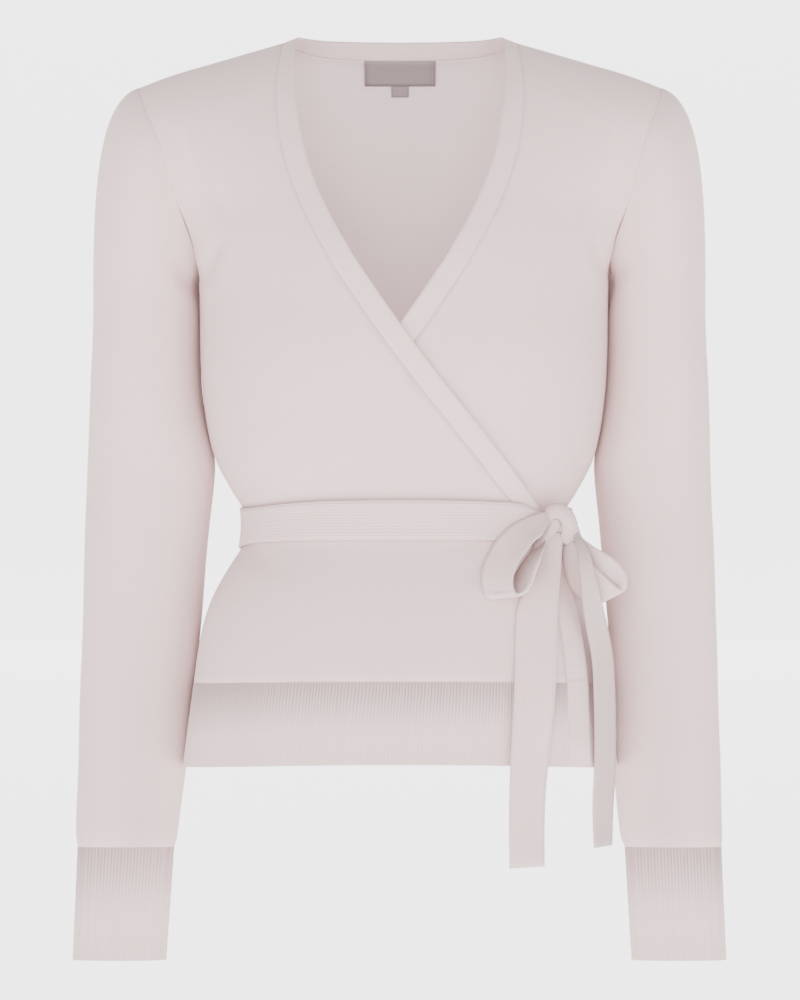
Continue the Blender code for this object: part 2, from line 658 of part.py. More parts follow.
def make_bands(shop, right, left):
    """The narrow band along both front edges and round the back of the neck."""
    for name, front in (("band_right", right), ("band_left", left)):
        levels = HEM_LEVELS + PANEL_LEVELS
        rows = [front.band_row(level) for level in levels]
        grid = np.array([row for row, _ in rows])
        grid[-1, :, 1] = -GAP / 2
        normals = np.array([leans for _, leans in rows])
        across = grid[-1, 2] - grid[-1, 0]
        top = np.array([-across[2] * front.mirror, 0, abs(across[0])])
        normals[-1] = normals[-2] = top / np.linalg.norm(top)
        shop.wall(name, grid, normals)
    turns = [turn for turn in back_turns(*BACK_PANEL_SPANS)
             if abs(turn) < BACK_NECK_TURN_LIMIT]
    rows = []
    for turn in turns:
        low = body_point(1, turn, 1.0)
        sway = low[0] / NECK_HALF
        behind = math.sqrt(max(1 - sway ** 2, 0.0))
        high = np.array([NECK_EDGE_HALF * sway, (NECK_BACK_DEPTH - BAND_LEAN) * behind,
                         NECK_TOP_Z - NECK_TOP_DIP * behind])
        step = (high - low) * (GAP / np.linalg.norm(high - low))
        rows.append([low + step, (low + high) / 2, high])
    grid = np.transpose(np.array(rows), (1, 0, 2))
    grid[:, 0, 1] = grid[:, -1, 1] = GAP / 2
    normals = -grid_normals(grid)
    for end in (0, -1):
        across = grid[2, end] - grid[0, end]
        lean = np.array([-across[2] * math.copysign(1, across[0]), 0, abs(across[0])])
        normals[:, end] = lean / np.linalg.norm(lean)
    shop.wall("band_back", grid, normals)


def sleeve_ring(sizes, side, z, angles):
    """One round of a sleeve's or cuff's outside at height z, kept clear of the body."""
    inner, outer, behind, half_depth = sizes
    middle = (inner + outer) / 2
    half = (outer - inner) / 2
    points = []
    for angle in angles:
        reach = math.copysign(abs(math.cos(angle)) ** SLEEVE_SQUARENESS, math.cos(angle))
        bulge = math.copysign(abs(math.sin(angle)) ** SLEEVE_SQUARENESS, math.sin(angle))
        y = behind - half_depth * bulge
        x = max(middle + half * reach, body_half_width(side, y, z))
        points.append((side * x, y, z))
    return np.array(points)


def body_half_width(side, y, z):
    """Least |x| that stays clear of the body's side at y and z."""
    if z > ARMPIT_Z or z < HEM_Z - SLEEVE_CLEAR:
        return 0.0
    depth = smooth_lookup(BODY_ROWS, "z", z, "front" if y < 0 else "back")
    share = max(1 - (abs(y) / depth) ** OVAL, 0.0) ** (1 / OVAL)
    half = smooth_lookup(BODY_ROWS, "z", z, "half_width") * share
    return half + side * smooth_lookup(BODY_ROWS, "z", z, "centre") + SLEEVE_CLEAR


def sleeve_sizes(rows, side, z):
    """Inner and outer |x|, distance back and half depth of a sleeve at height z."""
    hand = "l" if side > 0 else "r"
    names = ("inner_" + hand, "outer_" + hand, "back", "half_depth")
    return [smooth_lookup(rows, "z", z, name) for name in names]


def armhole_loop(side):
    """The armhole's points from the shoulder tip down the front and up the back.

    Each row holds a point that the panels share, the body's outward direction there, and
    the matching angle round the sleeve.
    """
    levels = [level for level in PANEL_LEVELS if level >= 0][::-1]
    halves = []
    for facing in (-1, 1):
        edge = np.array([np.append(body_point(facing, side, level),
                                   body_normal(facing, side, level)) for level in levels])
        steps = np.linalg.norm(np.diff(edge[:, :3], axis=0), axis=1)
        lengths = np.insert(np.cumsum(steps), 0, 0)
        angles = -facing * math.pi * lengths / lengths[-1]
        halves.append(np.column_stack([edge, angles]))
    front, back = halves
    return np.vstack([front, back[-2:0:-1]])


def make_sleeve(shop, side, name):
    """A sleeve from its armhole to the cuff."""
    loop = armhole_loop(side)
    angles = loop[:, 6]
    first = SLEEVE_ROWS[0].z
    ring = sleeve_ring(sleeve_sizes(SLEEVE_ROWS, side, first), side, first, angles)
    lows = (1 - np.cos(angles)) / 2
    rows = []
    for share in CAP_SHARES:
        row = []
        for column, low in enumerate(lows):
            outward = np.array([side * (CAP_OUT - CAP_OUT_LOSS * low ** 3),
                                -CAP_FORWARD * math.sin(angles[column]),
                                -CAP_DOWN - CAP_DOWN_GAIN * low ** 2])
            outward /= np.linalg.norm(outward)
            start = loop[column, :3] + (side * (SLEEVE_GAP + UNDERARM_OUT * low ** 2), 0,
                                        UNDERARM_UP * low ** 4)
            reach = np.linalg.norm(ring[column] - start)
            pull = CAP_START_PULL + CAP_START_PULL_GAIN * low
            first_pull = start + outward * reach * pull
            second_pull = ring[column] + (0, 0, reach * CAP_END_PULL)
            row.append(start * (1 - share) ** 3 + 3 * first_pull * share * (1 - share) ** 2
                       + 3 * second_pull * share ** 2 * (1 - share)
                       + ring[column] * share ** 3)
        rows.append(np.array(row))
    for z in [row.z for row in SLEEVE_ROWS]:
        rows.append(sleeve_ring(sleeve_sizes(SLEEVE_ROWS, side, z), side, z, angles))
    grid = np.array(rows)
    normals = grid_normals(grid, closed=True) * side
    for column, low in enumerate(lows):
        seam = 1 - ease((low - CAP_LEAN_START) / CAP_LEAN_FADE)
        for row, share in ((0, 1.0), (1, 0.5)):
            lean = normals[row, column] * (1 - seam * share)
            lean = lean + loop[column, 3:6] * seam * share
            normals[row, column] = lean / np.linalg.norm(lean)
    shop.wall(name, grid, normals, closed=True)


def make_cuff(shop, side, name):
    """A ribbed cuff below its sleeve."""
    angles = np.arange(CUFF_COLUMNS) * 2 * math.pi / CUFF_COLUMNS
    rows = [sleeve_ring(sleeve_sizes(CUFF_ROWS, side, row.z), side, row.z, angles)
            for row in CUFF_ROWS]
    grid = np.array(rows)
    if side < 0:
        grid = grid[:, ::-1]
    shop.wall(name, grid, grid_normals(grid, closed=True),
              ribs=rib_counts(grid, closed=True), closed=True)


def make_belt(shop, right):
    """The belt's stretch round the waist, from one side of the knot to the other."""
    rows = []
    places = []
    for turn in np.linspace(BELT_START_TURN, -1.0, BELT_FRONT_ROWS):
        places.append((-1, turn))
    for turn in np.linspace(-1.0, 1.0, BELT_BACK_ROWS)[1:]:
        places.append((1, turn))
    for turn in np.linspace(1.0, BELT_END_TURN, BELT_SHORT_ROWS)[1:]:
        places.append((-1, turn))
    for order, (side, turn) in enumerate(places):
        from_start = order / BELT_PINCH_LONG
        to_end = (len(places) - 1 - order) / BELT_PINCH_SHORT
        pinch = BELT_PINCH + (1 - BELT_PINCH) * ease(min(from_start, to_end))
        sag = BELT_SIDE_DROP * abs(math.sin(turn * math.pi / 2)) ** 4
        row = []
        for share in (-0.5, 0.0, 0.5):
            z = BELT_Z - sag + BELT_WIDTH * share * pinch
            level = (z - ARMPIT_Z) / (ARMPIT_Z - HEM_Z)
            stand = BELT_CLEAR + WALL
            if side < 0:
                stand += overlap_lift(turn, level, right.edge)
            row.append(body_point(side, turn, level) + body_normal(side, turn, level) * stand)
        rows.append(row)
    shop.sheet("belt_waist", np.array(rows))


def front_limit(x, z):
    """The y that a strap's middle stays in front of, where it hangs against the body."""
    if z < HEM_Z:
        return 0.0
    turn, level = body_place(x, z)
    stand = OVERLAP_LIFT + WALL / 2 + STRAP_CLEAR
    if abs(z - BELT_Z) < BELT_WIDTH / 2 + STRAP_CLEAR:
        stand += BELT_CLEAR + WALL
    return body_point(-1, turn, level)[1] - stand


def make_strap(shop, name, rows, samples):
    """A free stretch of the belt: a loop or a tail of the bow."""
    path = smooth_path([tuple(row) for row in rows], samples)
    near = path[:, :3]
    wide = path[:, 3:]
    grid = np.stack([near + wide * share for share in (0.0, 0.5, 1.0)], axis=1)
    for point in grid.reshape(-1, 3):
        point[1] = min(point[1], front_limit(point[0], point[2]))
    shop.sheet(name, grid, offset=0.0)


def make_knot(shop):
    """The bow's knot and the strap that wraps over it."""
    mesh = bpy.data.meshes.new("knot")
    work = bmesh.new()
    bmesh.ops.create_uvsphere(work, u_segments=KNOT_SEGMENTS, v_segments=KNOT_RINGS,
                              radius=0.5)
    bmesh.ops.scale(work, vec=KNOT_SIZE, verts=work.verts)
    bmesh.ops.translate(work, vec=KNOT_CENTRE, verts=work.verts)
    work.to_mesh(mesh)
    work.free()
    shop.add("knot", mesh)
    rows = []
    for angle in np.linspace(-WRAP_TURN, WRAP_TURN, WRAP_ROWS):
        reach_y = KNOT_SIZE[1] / 2 + GAP + WALL
        reach_z = KNOT_SIZE[2] / 2 + GAP + WALL
        middle = np.array(KNOT_CENTRE) + (WRAP_LEAN * math.sin(angle),
                                          -reach_y * math.cos(angle),
                                          reach_z * math.sin(angle))
        narrow = WRAP_WIDTH / 2 * (WRAP_NARROW + (1 - WRAP_NARROW) * math.cos(angle))
        rows.append([middle - (narrow, -WRAP_EDGE_BACK, 0), middle,
                     middle + (narrow, WRAP_EDGE_BACK, 0)])
    shop.sheet("knot_wrap", np.array(rows)[:, ::-1])


def make_labels(shop):
    """The bare woven label inside the back neck and the size tab below it."""
    for name, x_range, z_range, stand in (
            ("neck_label", LABEL_X, LABEL_Z, LABEL_STAND),
            ("size_tab", TAB_X, TAB_Z, LABEL_STAND)):
        rows = []
        for z in np.linspace(z_range[0], z_range[1], 4):
            row = []
            for x in np.linspace(x_range[0], x_range[1], 5):
                turn, level = body_place(x, z)
                row.append(body_point(1, turn, level)
                           - body_normal(1, turn, level) * stand)
            rows.append(row)
        shop.sheet(name, np.array(rows), thickness=LABEL_THICKNESS, colour=LABEL_COLOUR)


def main():
    """Build every piece of the cardigan."""
    shop = Workshop()
    right, left = make_body(shop)
    make_bands(shop, right, left)
    for side, hand in ((-1, "right"), (1, "left")):
        make_sleeve(shop, side, "sleeve_" + hand)
        make_cuff(shop, side, "cuff_" + hand)
    make_belt(shop, right)
    make_knot(shop)
    make_strap(shop, "loop_left", LOOP_LEFT_ROWS, LOOP_ROWS_MADE)
    make_strap(shop, "loop_right", LOOP_RIGHT_ROWS, LOOP_ROWS_MADE)
    make_strap(shop, "tail_left", TAIL_LEFT_ROWS, TAIL_ROWS_MADE)
    make_strap(shop, "tail_right", TAIL_RIGHT_ROWS, TAIL_ROWS_MADE)
    make_labels(shop)


main()
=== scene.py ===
import logging
import math
from dataclasses import dataclass
from enum import Enum
from typing import NamedTuple, Optional, Sequence, Union

import bmesh
import bpy
import numpy as np
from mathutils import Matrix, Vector


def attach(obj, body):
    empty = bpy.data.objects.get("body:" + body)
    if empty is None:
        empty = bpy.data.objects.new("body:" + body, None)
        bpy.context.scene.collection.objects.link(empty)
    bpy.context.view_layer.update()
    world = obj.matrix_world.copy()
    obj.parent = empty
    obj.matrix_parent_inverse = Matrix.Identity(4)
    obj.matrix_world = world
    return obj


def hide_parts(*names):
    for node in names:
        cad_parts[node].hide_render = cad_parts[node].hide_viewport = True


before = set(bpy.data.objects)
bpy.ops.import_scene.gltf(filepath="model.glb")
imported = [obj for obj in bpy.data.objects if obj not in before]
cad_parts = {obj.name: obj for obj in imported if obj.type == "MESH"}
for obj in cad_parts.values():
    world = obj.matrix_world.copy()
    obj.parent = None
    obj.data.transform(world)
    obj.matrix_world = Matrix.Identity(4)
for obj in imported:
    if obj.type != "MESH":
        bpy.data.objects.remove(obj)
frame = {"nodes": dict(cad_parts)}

LOG = logging.getLogger("cardigan")
logging.basicConfig(level=logging.INFO)

# The photograph's frame: metres a pixel, its middle column, the row where z is 0 and its height,
# then the camera's distance in metres and its sensor in millimetres
PIXEL = 0.00077
PHOTO_MIDDLE_X = 399.5
PHOTO_TOP_ROW = 50.0
PHOTO_HEIGHT = 1000
VIEW_DISTANCE = 6.0
SENSOR = 36.0

# Linear colours of the cloth; its inner side, lighter as a purl side is and lighter still as
# painted light for the shaded inside; the belt's painted shade for the right tail; and the
# labels
CLOTH = (0.700, 0.530, 0.520, 1.0)
# The inner side: part purl side, part painted light that lifts the shaded inside.
CLOTH_PURL_AND_PAINTED_LIGHT = (0.950, 0.790, 0.790, 1.0)
# Painted shade: the belt's cloth darker and greyer, for the right tail.
CLOTH_PAINTED_SHADE = (0.560, 0.440, 0.425, 1.0)
LABEL_CLOTH = (0.272, 0.222, 0.226, 1.0)

# Metres from one stitch column, rib or thread to the next
WALE = 0.00125
RIB = 0.0025
BAND_RIB = 0.0021
LABEL_THREAD = 0.0006
STITCH_ROW = 0.0011
STRAP_WIDTH = 0.033

# Scales and shares of the knit's fibres, clouds, relief and tint; SHADE is how dark the tint
# gets, from painted shade in the grooves and from the fibre and cloud tone
FIBRE_SCALE = 1500.0
CLOUD_SCALE = 26.0
FIBRE_TINT = 0.16
CLOUD_TINT = 0.10
WAVE_HEIGHT = 0.7
ROW_HEIGHT = 0.25
FIBRE_HEIGHT = 0.35
SHADE = 0.78
ROUGHNESS = 0.80
ROUGHNESS_PLAY = 0.12

# The Mix node's two colour inputs and its colour output, by number
MIX_FIRST = 6
MIX_SECOND = 7
MIX_RESULT = 2

# How the solids are read and smoothed
WELD = 1e-6
RIM_ANGLE = math.radians(48.0)
QUAD_ANGLE = math.radians(60.0)
GRID_PULL = 2.0
WALL_EDGE = 0.0026
FIT_STEPS = 3
RIB_NEIGHBOUR = 0.0020
RIB_RISE = 0.0006

# How far a piece grows to close its seam gaps, by the first word of its node's name
SWELL = 0.00012
SEAM_SWELL = {"sleeve": 0.00030, "band": 0.00030, "hem": 0.00045, "cuff": 0.00045}

# A crease: points along it, how it tapers, where its lips lie and how it fades round the side
CREASE_POINTS = 25
CREASE_TAPER = 0.6
LIP_PLACE = 1.7
FACE_BLEND = 0.02

# The body is wider than deep, so its outward direction takes only this share of x
SIDE_SHARE = 0.35
LEAST_LENGTH = 1e-6

PIECE_NAME = "cloth_{}"


class Face(Enum):
    """The side of the garment that a crease lies on."""

    FRONT = -1.0
    BACK = 1.0


class Hand(Enum):
    """The wearer's side of a pair, as a node's name says it."""

    RIGHT = "right"
    LEFT = "left"


Number = Union[int, float]


class Graph:
    """Adds shader nodes to one material."""

    def __init__(self, material: bpy.types.Material) -> None:
        """Clear a material's nodes and start again.

        Args:
            material: the material to fill.
        """
        material.use_nodes = True
        self.tree = material.node_tree
        self.tree.nodes.clear()

    def node(self, kind: str, settings: Optional[dict] = None,
             inputs: Optional[dict] = None) -> bpy.types.Node:
        """Add one node.

        Args:
            kind: the node's type name after ShaderNode.
            settings: attribute values of the node.
            inputs: socket name or number to a value or a wrapped socket.

        Returns:
            The new node.
        """
        made = self.tree.nodes.new("ShaderNode" + kind)
        for name, value in (settings or {}).items():
            setattr(made, name, value)
        for name, value in (inputs or {}).items():
            if isinstance(value, Sock):
                self.tree.links.new(value.socket, made.inputs[name])
            else:
                made.inputs[name].default_value = value
        return made

    def out(self, kind: str, output: Union[int, str] = 0, settings: Optional[dict] = None,
            inputs: Optional[dict] = None) -> "Sock":
        """Add one node and wrap one of its outputs.

        Args:
            kind: the node's type name after ShaderNode.
            output: the output's name or number.
            settings: attribute values of the node.
            inputs: socket name or number to a value or a wrapped socket.

        Returns:
            The wrapped output.
        """
        return Sock(self, self.node(kind, settings, inputs).outputs[output])

    def blend(self, factor: "Sock", first: Union["Sock", tuple],
              second: Union["Sock", tuple]) -> "Sock":
        """Mix two colours.

        Args:
            factor: 0 gives the first, 1 the second.
            first: a colour or a wrapped colour socket.
            second: a colour or a wrapped colour socket.

        Returns:
            The mixed colour.
        """
        return self.out("Mix", MIX_RESULT, {"data_type": "RGBA"},
                        {"Factor": factor, MIX_FIRST: first, MIX_SECOND: second})


class Sock:
    """A node's output that does maths with plain operators."""

    def __init__(self, graph: Graph, socket: bpy.types.NodeSocket) -> None:
        """Wrap an output.

        Args:
            graph: where further nodes go.
            socket: the output to wrap.
        """
        self.graph = graph
        self.socket = socket

    def _math(self, operation: str, first: Union["Sock", Number],
              second: Union["Sock", Number, None] = None, clamp: bool = False) -> "Sock":
        """Add a Math node.

        Args:
            operation: the node's operation.
            first: its first input.
            second: its second input, if it has one.
            clamp: whether the result is kept from 0 to 1.

        Returns:
            The result.
        """
        inputs = {0: first}
        if second is not None:
            inputs[1] = second
        return self.graph.out("Math", 0, {"operation": operation, "use_clamp": clamp}, inputs)

    def __add__(self, other: Union["Sock", Number]) -> "Sock":
        """Return self + other."""
        return self._math("ADD", self, other)

    def __radd__(self, other: Number) -> "Sock":
        """Return other + self."""
        return self._math("ADD", other, self)

    def __sub__(self, other: Union["Sock", Number]) -> "Sock":
        """Return self - other."""
        return self._math("SUBTRACT", self, other)

    def __rsub__(self, other: Number) -> "Sock":
        """Return other - self."""
        return self._math("SUBTRACT", other, self)

    def __mul__(self, other: Union["Sock", Number]) -> "Sock":
        """Return self * other."""
        return self._math("MULTIPLY", self, other)

    def __rmul__(self, other: Number) -> "Sock":
        """Return other * self."""
        return self._math("MULTIPLY", other, self)

    def sine(self) -> "Sock":
        """Return the sine of this value in radians."""
        return self._math("SINE", self)

    def angle_to(self, other: "Sock") -> "Sock":
        """Return the angle whose tangent is self / other."""
        return self._math("ARCTAN2", self, other)

    def held(self) -> "Sock":
        """Return this value kept from 0 to 1."""
        return self._math("ADD", self, 0.0, True)

    def part(self, axis: str) -> "Sock":
        """Return the part of this vector along X, Y or Z."""
        return self.graph.out("SeparateXYZ", axis, None, {0: self})


class Course(Enum):
    """How the columns of stitches run on a piece."""

    ROUND_TUBE = "round tube"
    ALONG_STRAP = "along strap"
    LEVEL = "level"
    RAISED = "raised ribs"


@dataclass(frozen=True)
class Knit:
    """The finish of one kind of cloth.

    Attributes:
        name: the material's name.
        colour: linear base colour.
        course: how its stitch columns run.
        pitch: metres from one stitch column or rib to the next.
        depth: height of the bump in metres.
        centre_x: middle of the tube that the columns run down.
        centre_y: its middle in depth.
        radius: rough radius of that tube, to turn angle into distance.
        sheen: strength of the soft fibre sheen.
        painted_groove_shade: how strongly painted shade darkens the grooves between ribs or
            stitch columns.
    """

    name: str
    colour: tuple
    course: Course
    pitch: float
    depth: float = 0.00022
    centre_x: float = 0.0
    centre_y: float = 0.0
    radius: float = 0.15
    sheen: float = 0.12
    painted_groove_shade: float = 0.03

    def columns(self, graph: Graph) -> Sock:
        """Return the distance across the stitch columns, in metres.

        Args:
            graph: the material's graph.

        Returns:
            The wrapped distance.
        """
        if self.course is Course.ALONG_STRAP:
            edge = graph.out("Attribute", "Fac", {"attribute_name": "across"})
            return edge * (STRAP_WIDTH / 2)
        place = graph.out("TexCoord", "Object")
        x, y, z = (place.part(axis) for axis in "XYZ")
        if self.course is Course.LEVEL:
            return z
        around = (x - self.centre_x).angle_to(y - self.centre_y)
        return around * self.radius

    def make(self) -> bpy.types.Material:
        """Build the node material.

        Returns:
            The finished material.
        """
        material = bpy.data.materials.new(self.name)
        graph = Graph(material)
        place = graph.out("TexCoord", "Object")
        if self.course is Course.RAISED:
            wave = 1.0 - graph.out("Attribute", "Fac", {"attribute_name": "groove"})
        else:
            across = self.columns(graph)
            wave = (across * (2.0 * math.pi / self.pitch)).sine() * 0.5 + 0.5
        rows = (place.part("Z") * (2.0 * math.pi / STITCH_ROW)).sine() * 0.5 + 0.5
        fibre = graph.out("TexNoise", "Fac", None,
                          {"Vector": place, "Scale": FIBRE_SCALE, "Detail": 3.0,
                           "Roughness": 0.6})
        cloud = graph.out("TexNoise", "Fac", None,
                          {"Vector": place, "Scale": CLOUD_SCALE, "Detail": 2.0,
                           "Roughness": 0.5})
        dark = tuple(channel * SHADE for channel in self.colour[:3]) + (1.0,)
        # Painted shade in the grooves between ribs or stitch columns, plus random fibre and
        # cloud tone.
        groove = ((1.0 - wave) * self.painted_groove_shade + (fibre - 0.5) * FIBRE_TINT
                  + (cloud - 0.5) * CLOUD_TINT + FIBRE_TINT * 0.5).held()
        tint = graph.blend(groove, self.colour, dark)
        height = wave * WAVE_HEIGHT + rows * ROW_HEIGHT + fibre * FIBRE_HEIGHT
        bump = graph.out("Bump", "Normal", None,
                         {"Strength": 1.0, "Distance": self.depth, "Height": height})
        shader = graph.node("BsdfPrincipled", None, {
            "Base Color": tint, "Roughness": fibre * ROUGHNESS_PLAY + ROUGHNESS, "Normal": bump,
            "Sheen Weight": self.sheen, "Sheen Roughness": 0.45, "Sheen Tint": self.colour,
            "Specular IOR Level": 0.22})
        graph.node("OutputMaterial", None, {"Surface": Sock(graph, shader.outputs[0])})
        return material


BODY_KNIT = Knit("knit_body", CLOTH, Course.ROUND_TUBE, WALE, radius=0.14)
# Inner-side knit: the purl side's lighter tone plus painted light for the shaded inside.
PURL_AND_PAINTED_LIGHT_KNIT = Knit("knit_purl_painted_light", CLOTH_PURL_AND_PAINTED_LIGHT, Course.ROUND_TUBE, WALE, radius=0.14)
RIB_KNIT = Knit("knit_ribs", CLOTH, Course.RAISED, RIB, depth=0.00015, painted_groove_shade=0.42)
BAND_KNIT = Knit("knit_band", CLOTH, Course.LEVEL, BAND_RIB, depth=0.00018, painted_groove_shade=0.10)
BELT_KNIT = Knit("knit_belt", CLOTH, Course.ALONG_STRAP, RIB, depth=0.0003, painted_groove_shade=0.10)
# The right tail's knit carries painted shade: a darker, greyer belt cloth.
PAINTED_SHADE_BELT_KNIT = Knit("knit_belt_painted_shade", CLOTH_PAINTED_SHADE, Course.ALONG_STRAP, RIB, depth=0.0003,
                   painted_groove_shade=0.10)
LABEL_WEAVE = Knit("woven_label", LABEL_CLOTH, Course.LEVEL, LABEL_THREAD, depth=0.00006,
                   sheen=0.0)


class TugRow(NamedTuple):
    """One small pull: where it is, how far it reaches and which way it goes."""

    x: float
    y: float
    z: float
    reach: float
    move_x: float
    move_y: float
    move_z: float
    reach_y: float = 0.0


class WrapRow(NamedTuple):
    """One row of the strap over the knot: its outer and inner edge in the photograph."""

    outer_column: float
    outer_row: float
    inner_column: float
    inner_row: float
    front: float


class FoldRow(NamedTuple):
    """One row of the small fold in the knot's middle, in the photograph."""

    column: float
    row: float
    half_width: float
    front: float


class CreaseRow(NamedTuple):
    """One soft crease, along a bent line in the photograph's frame."""

    face: Face
    x0: float
    z0: float
    x1: float
    z1: float
    x2: float
    z2: float
    depth: float
    width: float
    ridge: float


class LightRow(NamedTuple):
    """One soft square light: its name, place, side in metres and watts."""

    name: str
    place: tuple
    width: float
    power: float


def put(name: str, data: Union[bpy.types.Mesh, bpy.types.Light,
                                bpy.types.Camera]) -> bpy.types.Object:
    """Make an object of some data and link it to the scene.

    Args:
        name: the object's name.
        data: its mesh, light or camera.

    Returns:
        The new object.
    """
    thing = bpy.data.objects.new(name, data)
    bpy.context.scene.collection.objects.link(thing)
    return thing


class MeshKit:
    """Turns solids and grids of points into fine cloth shells."""

    @staticmethod
    def clean(node: bpy.types.Object, name: str) -> bpy.types.Object:
        """Copy a solid, welded and with its triangles joined into quads.

        Args:
            node: the solid from the frame.
            name: the copy's name.

        Returns:
            The copy, with its rims marked to stay crisp.
        """
        work = bmesh.new()
        work.from_mesh(node.data)
        bmesh.ops.remove_doubles(work, verts=work.verts, dist=WELD)
        bmesh.ops.join_triangles(work, faces=work.faces, angle_face_threshold=QUAD_ANGLE,
                                 angle_shape_threshold=math.pi,
                                 topology_influence=GRID_PULL)
        crisp = work.edges.layers.float.new("crease_edge")
        for edge in work.edges:
            if len(edge.link_faces) == 2 and edge.calc_face_angle(0.0) > RIM_ANGLE:
                edge[crisp] = 1.0
        mesh = bpy.data.meshes.new(name)
        work.to_mesh(mesh)
        work.free()
        mesh.materials.clear()
        return put(name, mesh)

    @staticmethod
    def points(mesh: bpy.types.Mesh) -> np.ndarray:
        """Read a mesh's points.

        Args:
            mesh: the mesh.

        Returns:
            An array of rows x, y, z.
        """
        flat = np.empty(len(mesh.vertices) * 3)
        mesh.vertices.foreach_get("co", flat)
        return flat.reshape(-1, 3)

    @staticmethod
    def normals(mesh: bpy.types.Mesh) -> np.ndarray:
        """Read the directions in which a mesh's points face.

        Args:
            mesh: the mesh.

        Returns:
            An array of rows x, y, z.
        """
        flat = np.empty(len(mesh.vertices) * 3)
        mesh.vertices.foreach_get("normal", flat)
        return flat.reshape(-1, 3)

    @staticmethod
    def place(mesh: bpy.types.Mesh, points: np.ndarray) -> None:
        """Write a mesh's points.

        Args:
            mesh: the mesh.
            points: an array of rows x, y, z.
        """
        mesh.vertices.foreach_set("co", points.reshape(-1))
        mesh.update()

    @staticmethod
    def settled(thing: bpy.types.Object) -> bpy.types.Mesh:
        """Return a new mesh of an object with its modifiers applied.

        Args:
            thing: the object.

        Returns:
            The new mesh.
        """
        bpy.context.view_layer.update()
        seen = thing.evaluated_get(bpy.context.evaluated_depsgraph_get())
        return bpy.data.meshes.new_from_object(seen)

    @staticmethod
    def mark_across(mesh: bpy.types.Mesh) -> None:
        """Store 0 at a strap's two edges and 1 along its middle.

        Args:
            mesh: a strap of three columns of points on each face.
        """
        work = bmesh.new()
        work.from_mesh(mesh)
        layer = work.verts.layers.float.new("across")
        for vert in work.verts:
            short = [edge for edge in vert.link_edges if edge.calc_length() < WALL_EDGE]
            corners = [edge for edge in vert.link_edges
                       if edge not in short and len(edge.other_vert(vert).link_edges) == 3]
            middle = not short or (len(vert.link_edges) == 4 and len(corners) == 2)
            vert[layer] = 1.0 if middle else 0.0
        work.to_mesh(mesh)
        work.free()

    @classmethod
    def fine(cls, nodes: dict, node: str, levels: int,
             strap: bool = False) -> bpy.types.Object:
        """Subdivide a solid smoothly so that it still passes through its own points.

        Args:
            nodes: the frame's solids by name.
            node: the name of the solid.
            levels: subdivision steps.
            strap: whether to store how far each point lies from its edges.

        Returns:
            The fine piece, with plain mesh data.
        """
        name = PIECE_NAME.format(node)
        thing = cls.clean(nodes[node], name)
        if strap:
            cls.mark_across(thing.data)
        if levels:
            aim = cls.points(thing.data)
            modifier = thing.modifiers.new("fine", "SUBSURF")
            modifier.levels = levels
            modifier.boundary_smooth = "PRESERVE_CORNERS"
            for _ in range(FIT_STEPS):
                smooth = cls.settled(thing)
                drift = aim - cls.points(smooth)[:len(aim)]
                cls.place(thing.data, cls.points(thing.data) + drift)
                bpy.data.meshes.remove(smooth)
            smooth = cls.settled(thing)
            thing.modifiers.clear()
            thing.data = smooth
        thing.data.shade_smooth()
        thing.data.name = name
        return thing

    @staticmethod
    def relax(thing: bpy.types.Object, height: float, reach: float, rounds: int) -> None:
        """Smooth a level belt of a piece, and leave its rims where they are.

        Args:
            thing: the piece.
            height: the belt's middle z.
            reach: its half height.
            rounds: how often each point moves towards its neighbours.
        """
        mesh = thing.data
        work = bmesh.new()
        work.from_mesh(mesh)
        fixed = np.zeros(len(work.verts), bool)
        for edge in work.edges:
            if edge.calc_face_angle(0.0) > RIM_ANGLE:
                fixed[[vert.index for vert in edge.verts]] = True
        ends = np.array([[vert.index for vert in edge.verts] for edge in work.edges])
        work.free()
        points = MeshKit.points(mesh)
        share = np.exp(-((points[:, 2] - height) / reach) ** 2)
        share[fixed] = 0.0
        for _ in range(rounds):
            total = np.zeros_like(points)
            count = np.zeros(len(points))
            for first, second in (ends.T, ends.T[::-1]):
                np.add.at(total, first, points[second])
                np.add.at(count, first, 1.0)
            points += (total / count[:, None] - points) * share[:, None]
        MeshKit.place(mesh, points)

    @staticmethod
    def tug(thing: bpy.types.Object, rows: Sequence[TugRow]) -> None:
        """Pull small regions of a piece along, as a hand does when it sets a bow.

        Args:
            thing: the piece.
            rows: the pulls.
        """
        points = MeshKit.points(thing.data)
        rest = points.copy()
        for row in rows:
            reach = np.array((row.reach, row.reach_y or row.reach, row.reach))
            far = (rest - np.array((row.x, row.y, row.z))) / reach
            share = np.exp(-(far * far).sum(axis=1))
            points += share[:, None] * np.array((row.move_x, row.move_y, row.move_z))
        MeshKit.place(thing.data, points)

    @staticmethod
    def join(thing: bpy.types.Object, other: bpy.types.Object) -> None:
        """Put another mesh into a piece, and remove the other object.

        Args:
            thing: the piece that stays.
            other: the piece that goes into it.
        """
        work = bmesh.new()
        work.from_mesh(thing.data)
        work.from_mesh(other.data)
        work.to_mesh(thing.data)
        work.free()
        bpy.data.objects.remove(other)
        thing.data.shade_smooth()

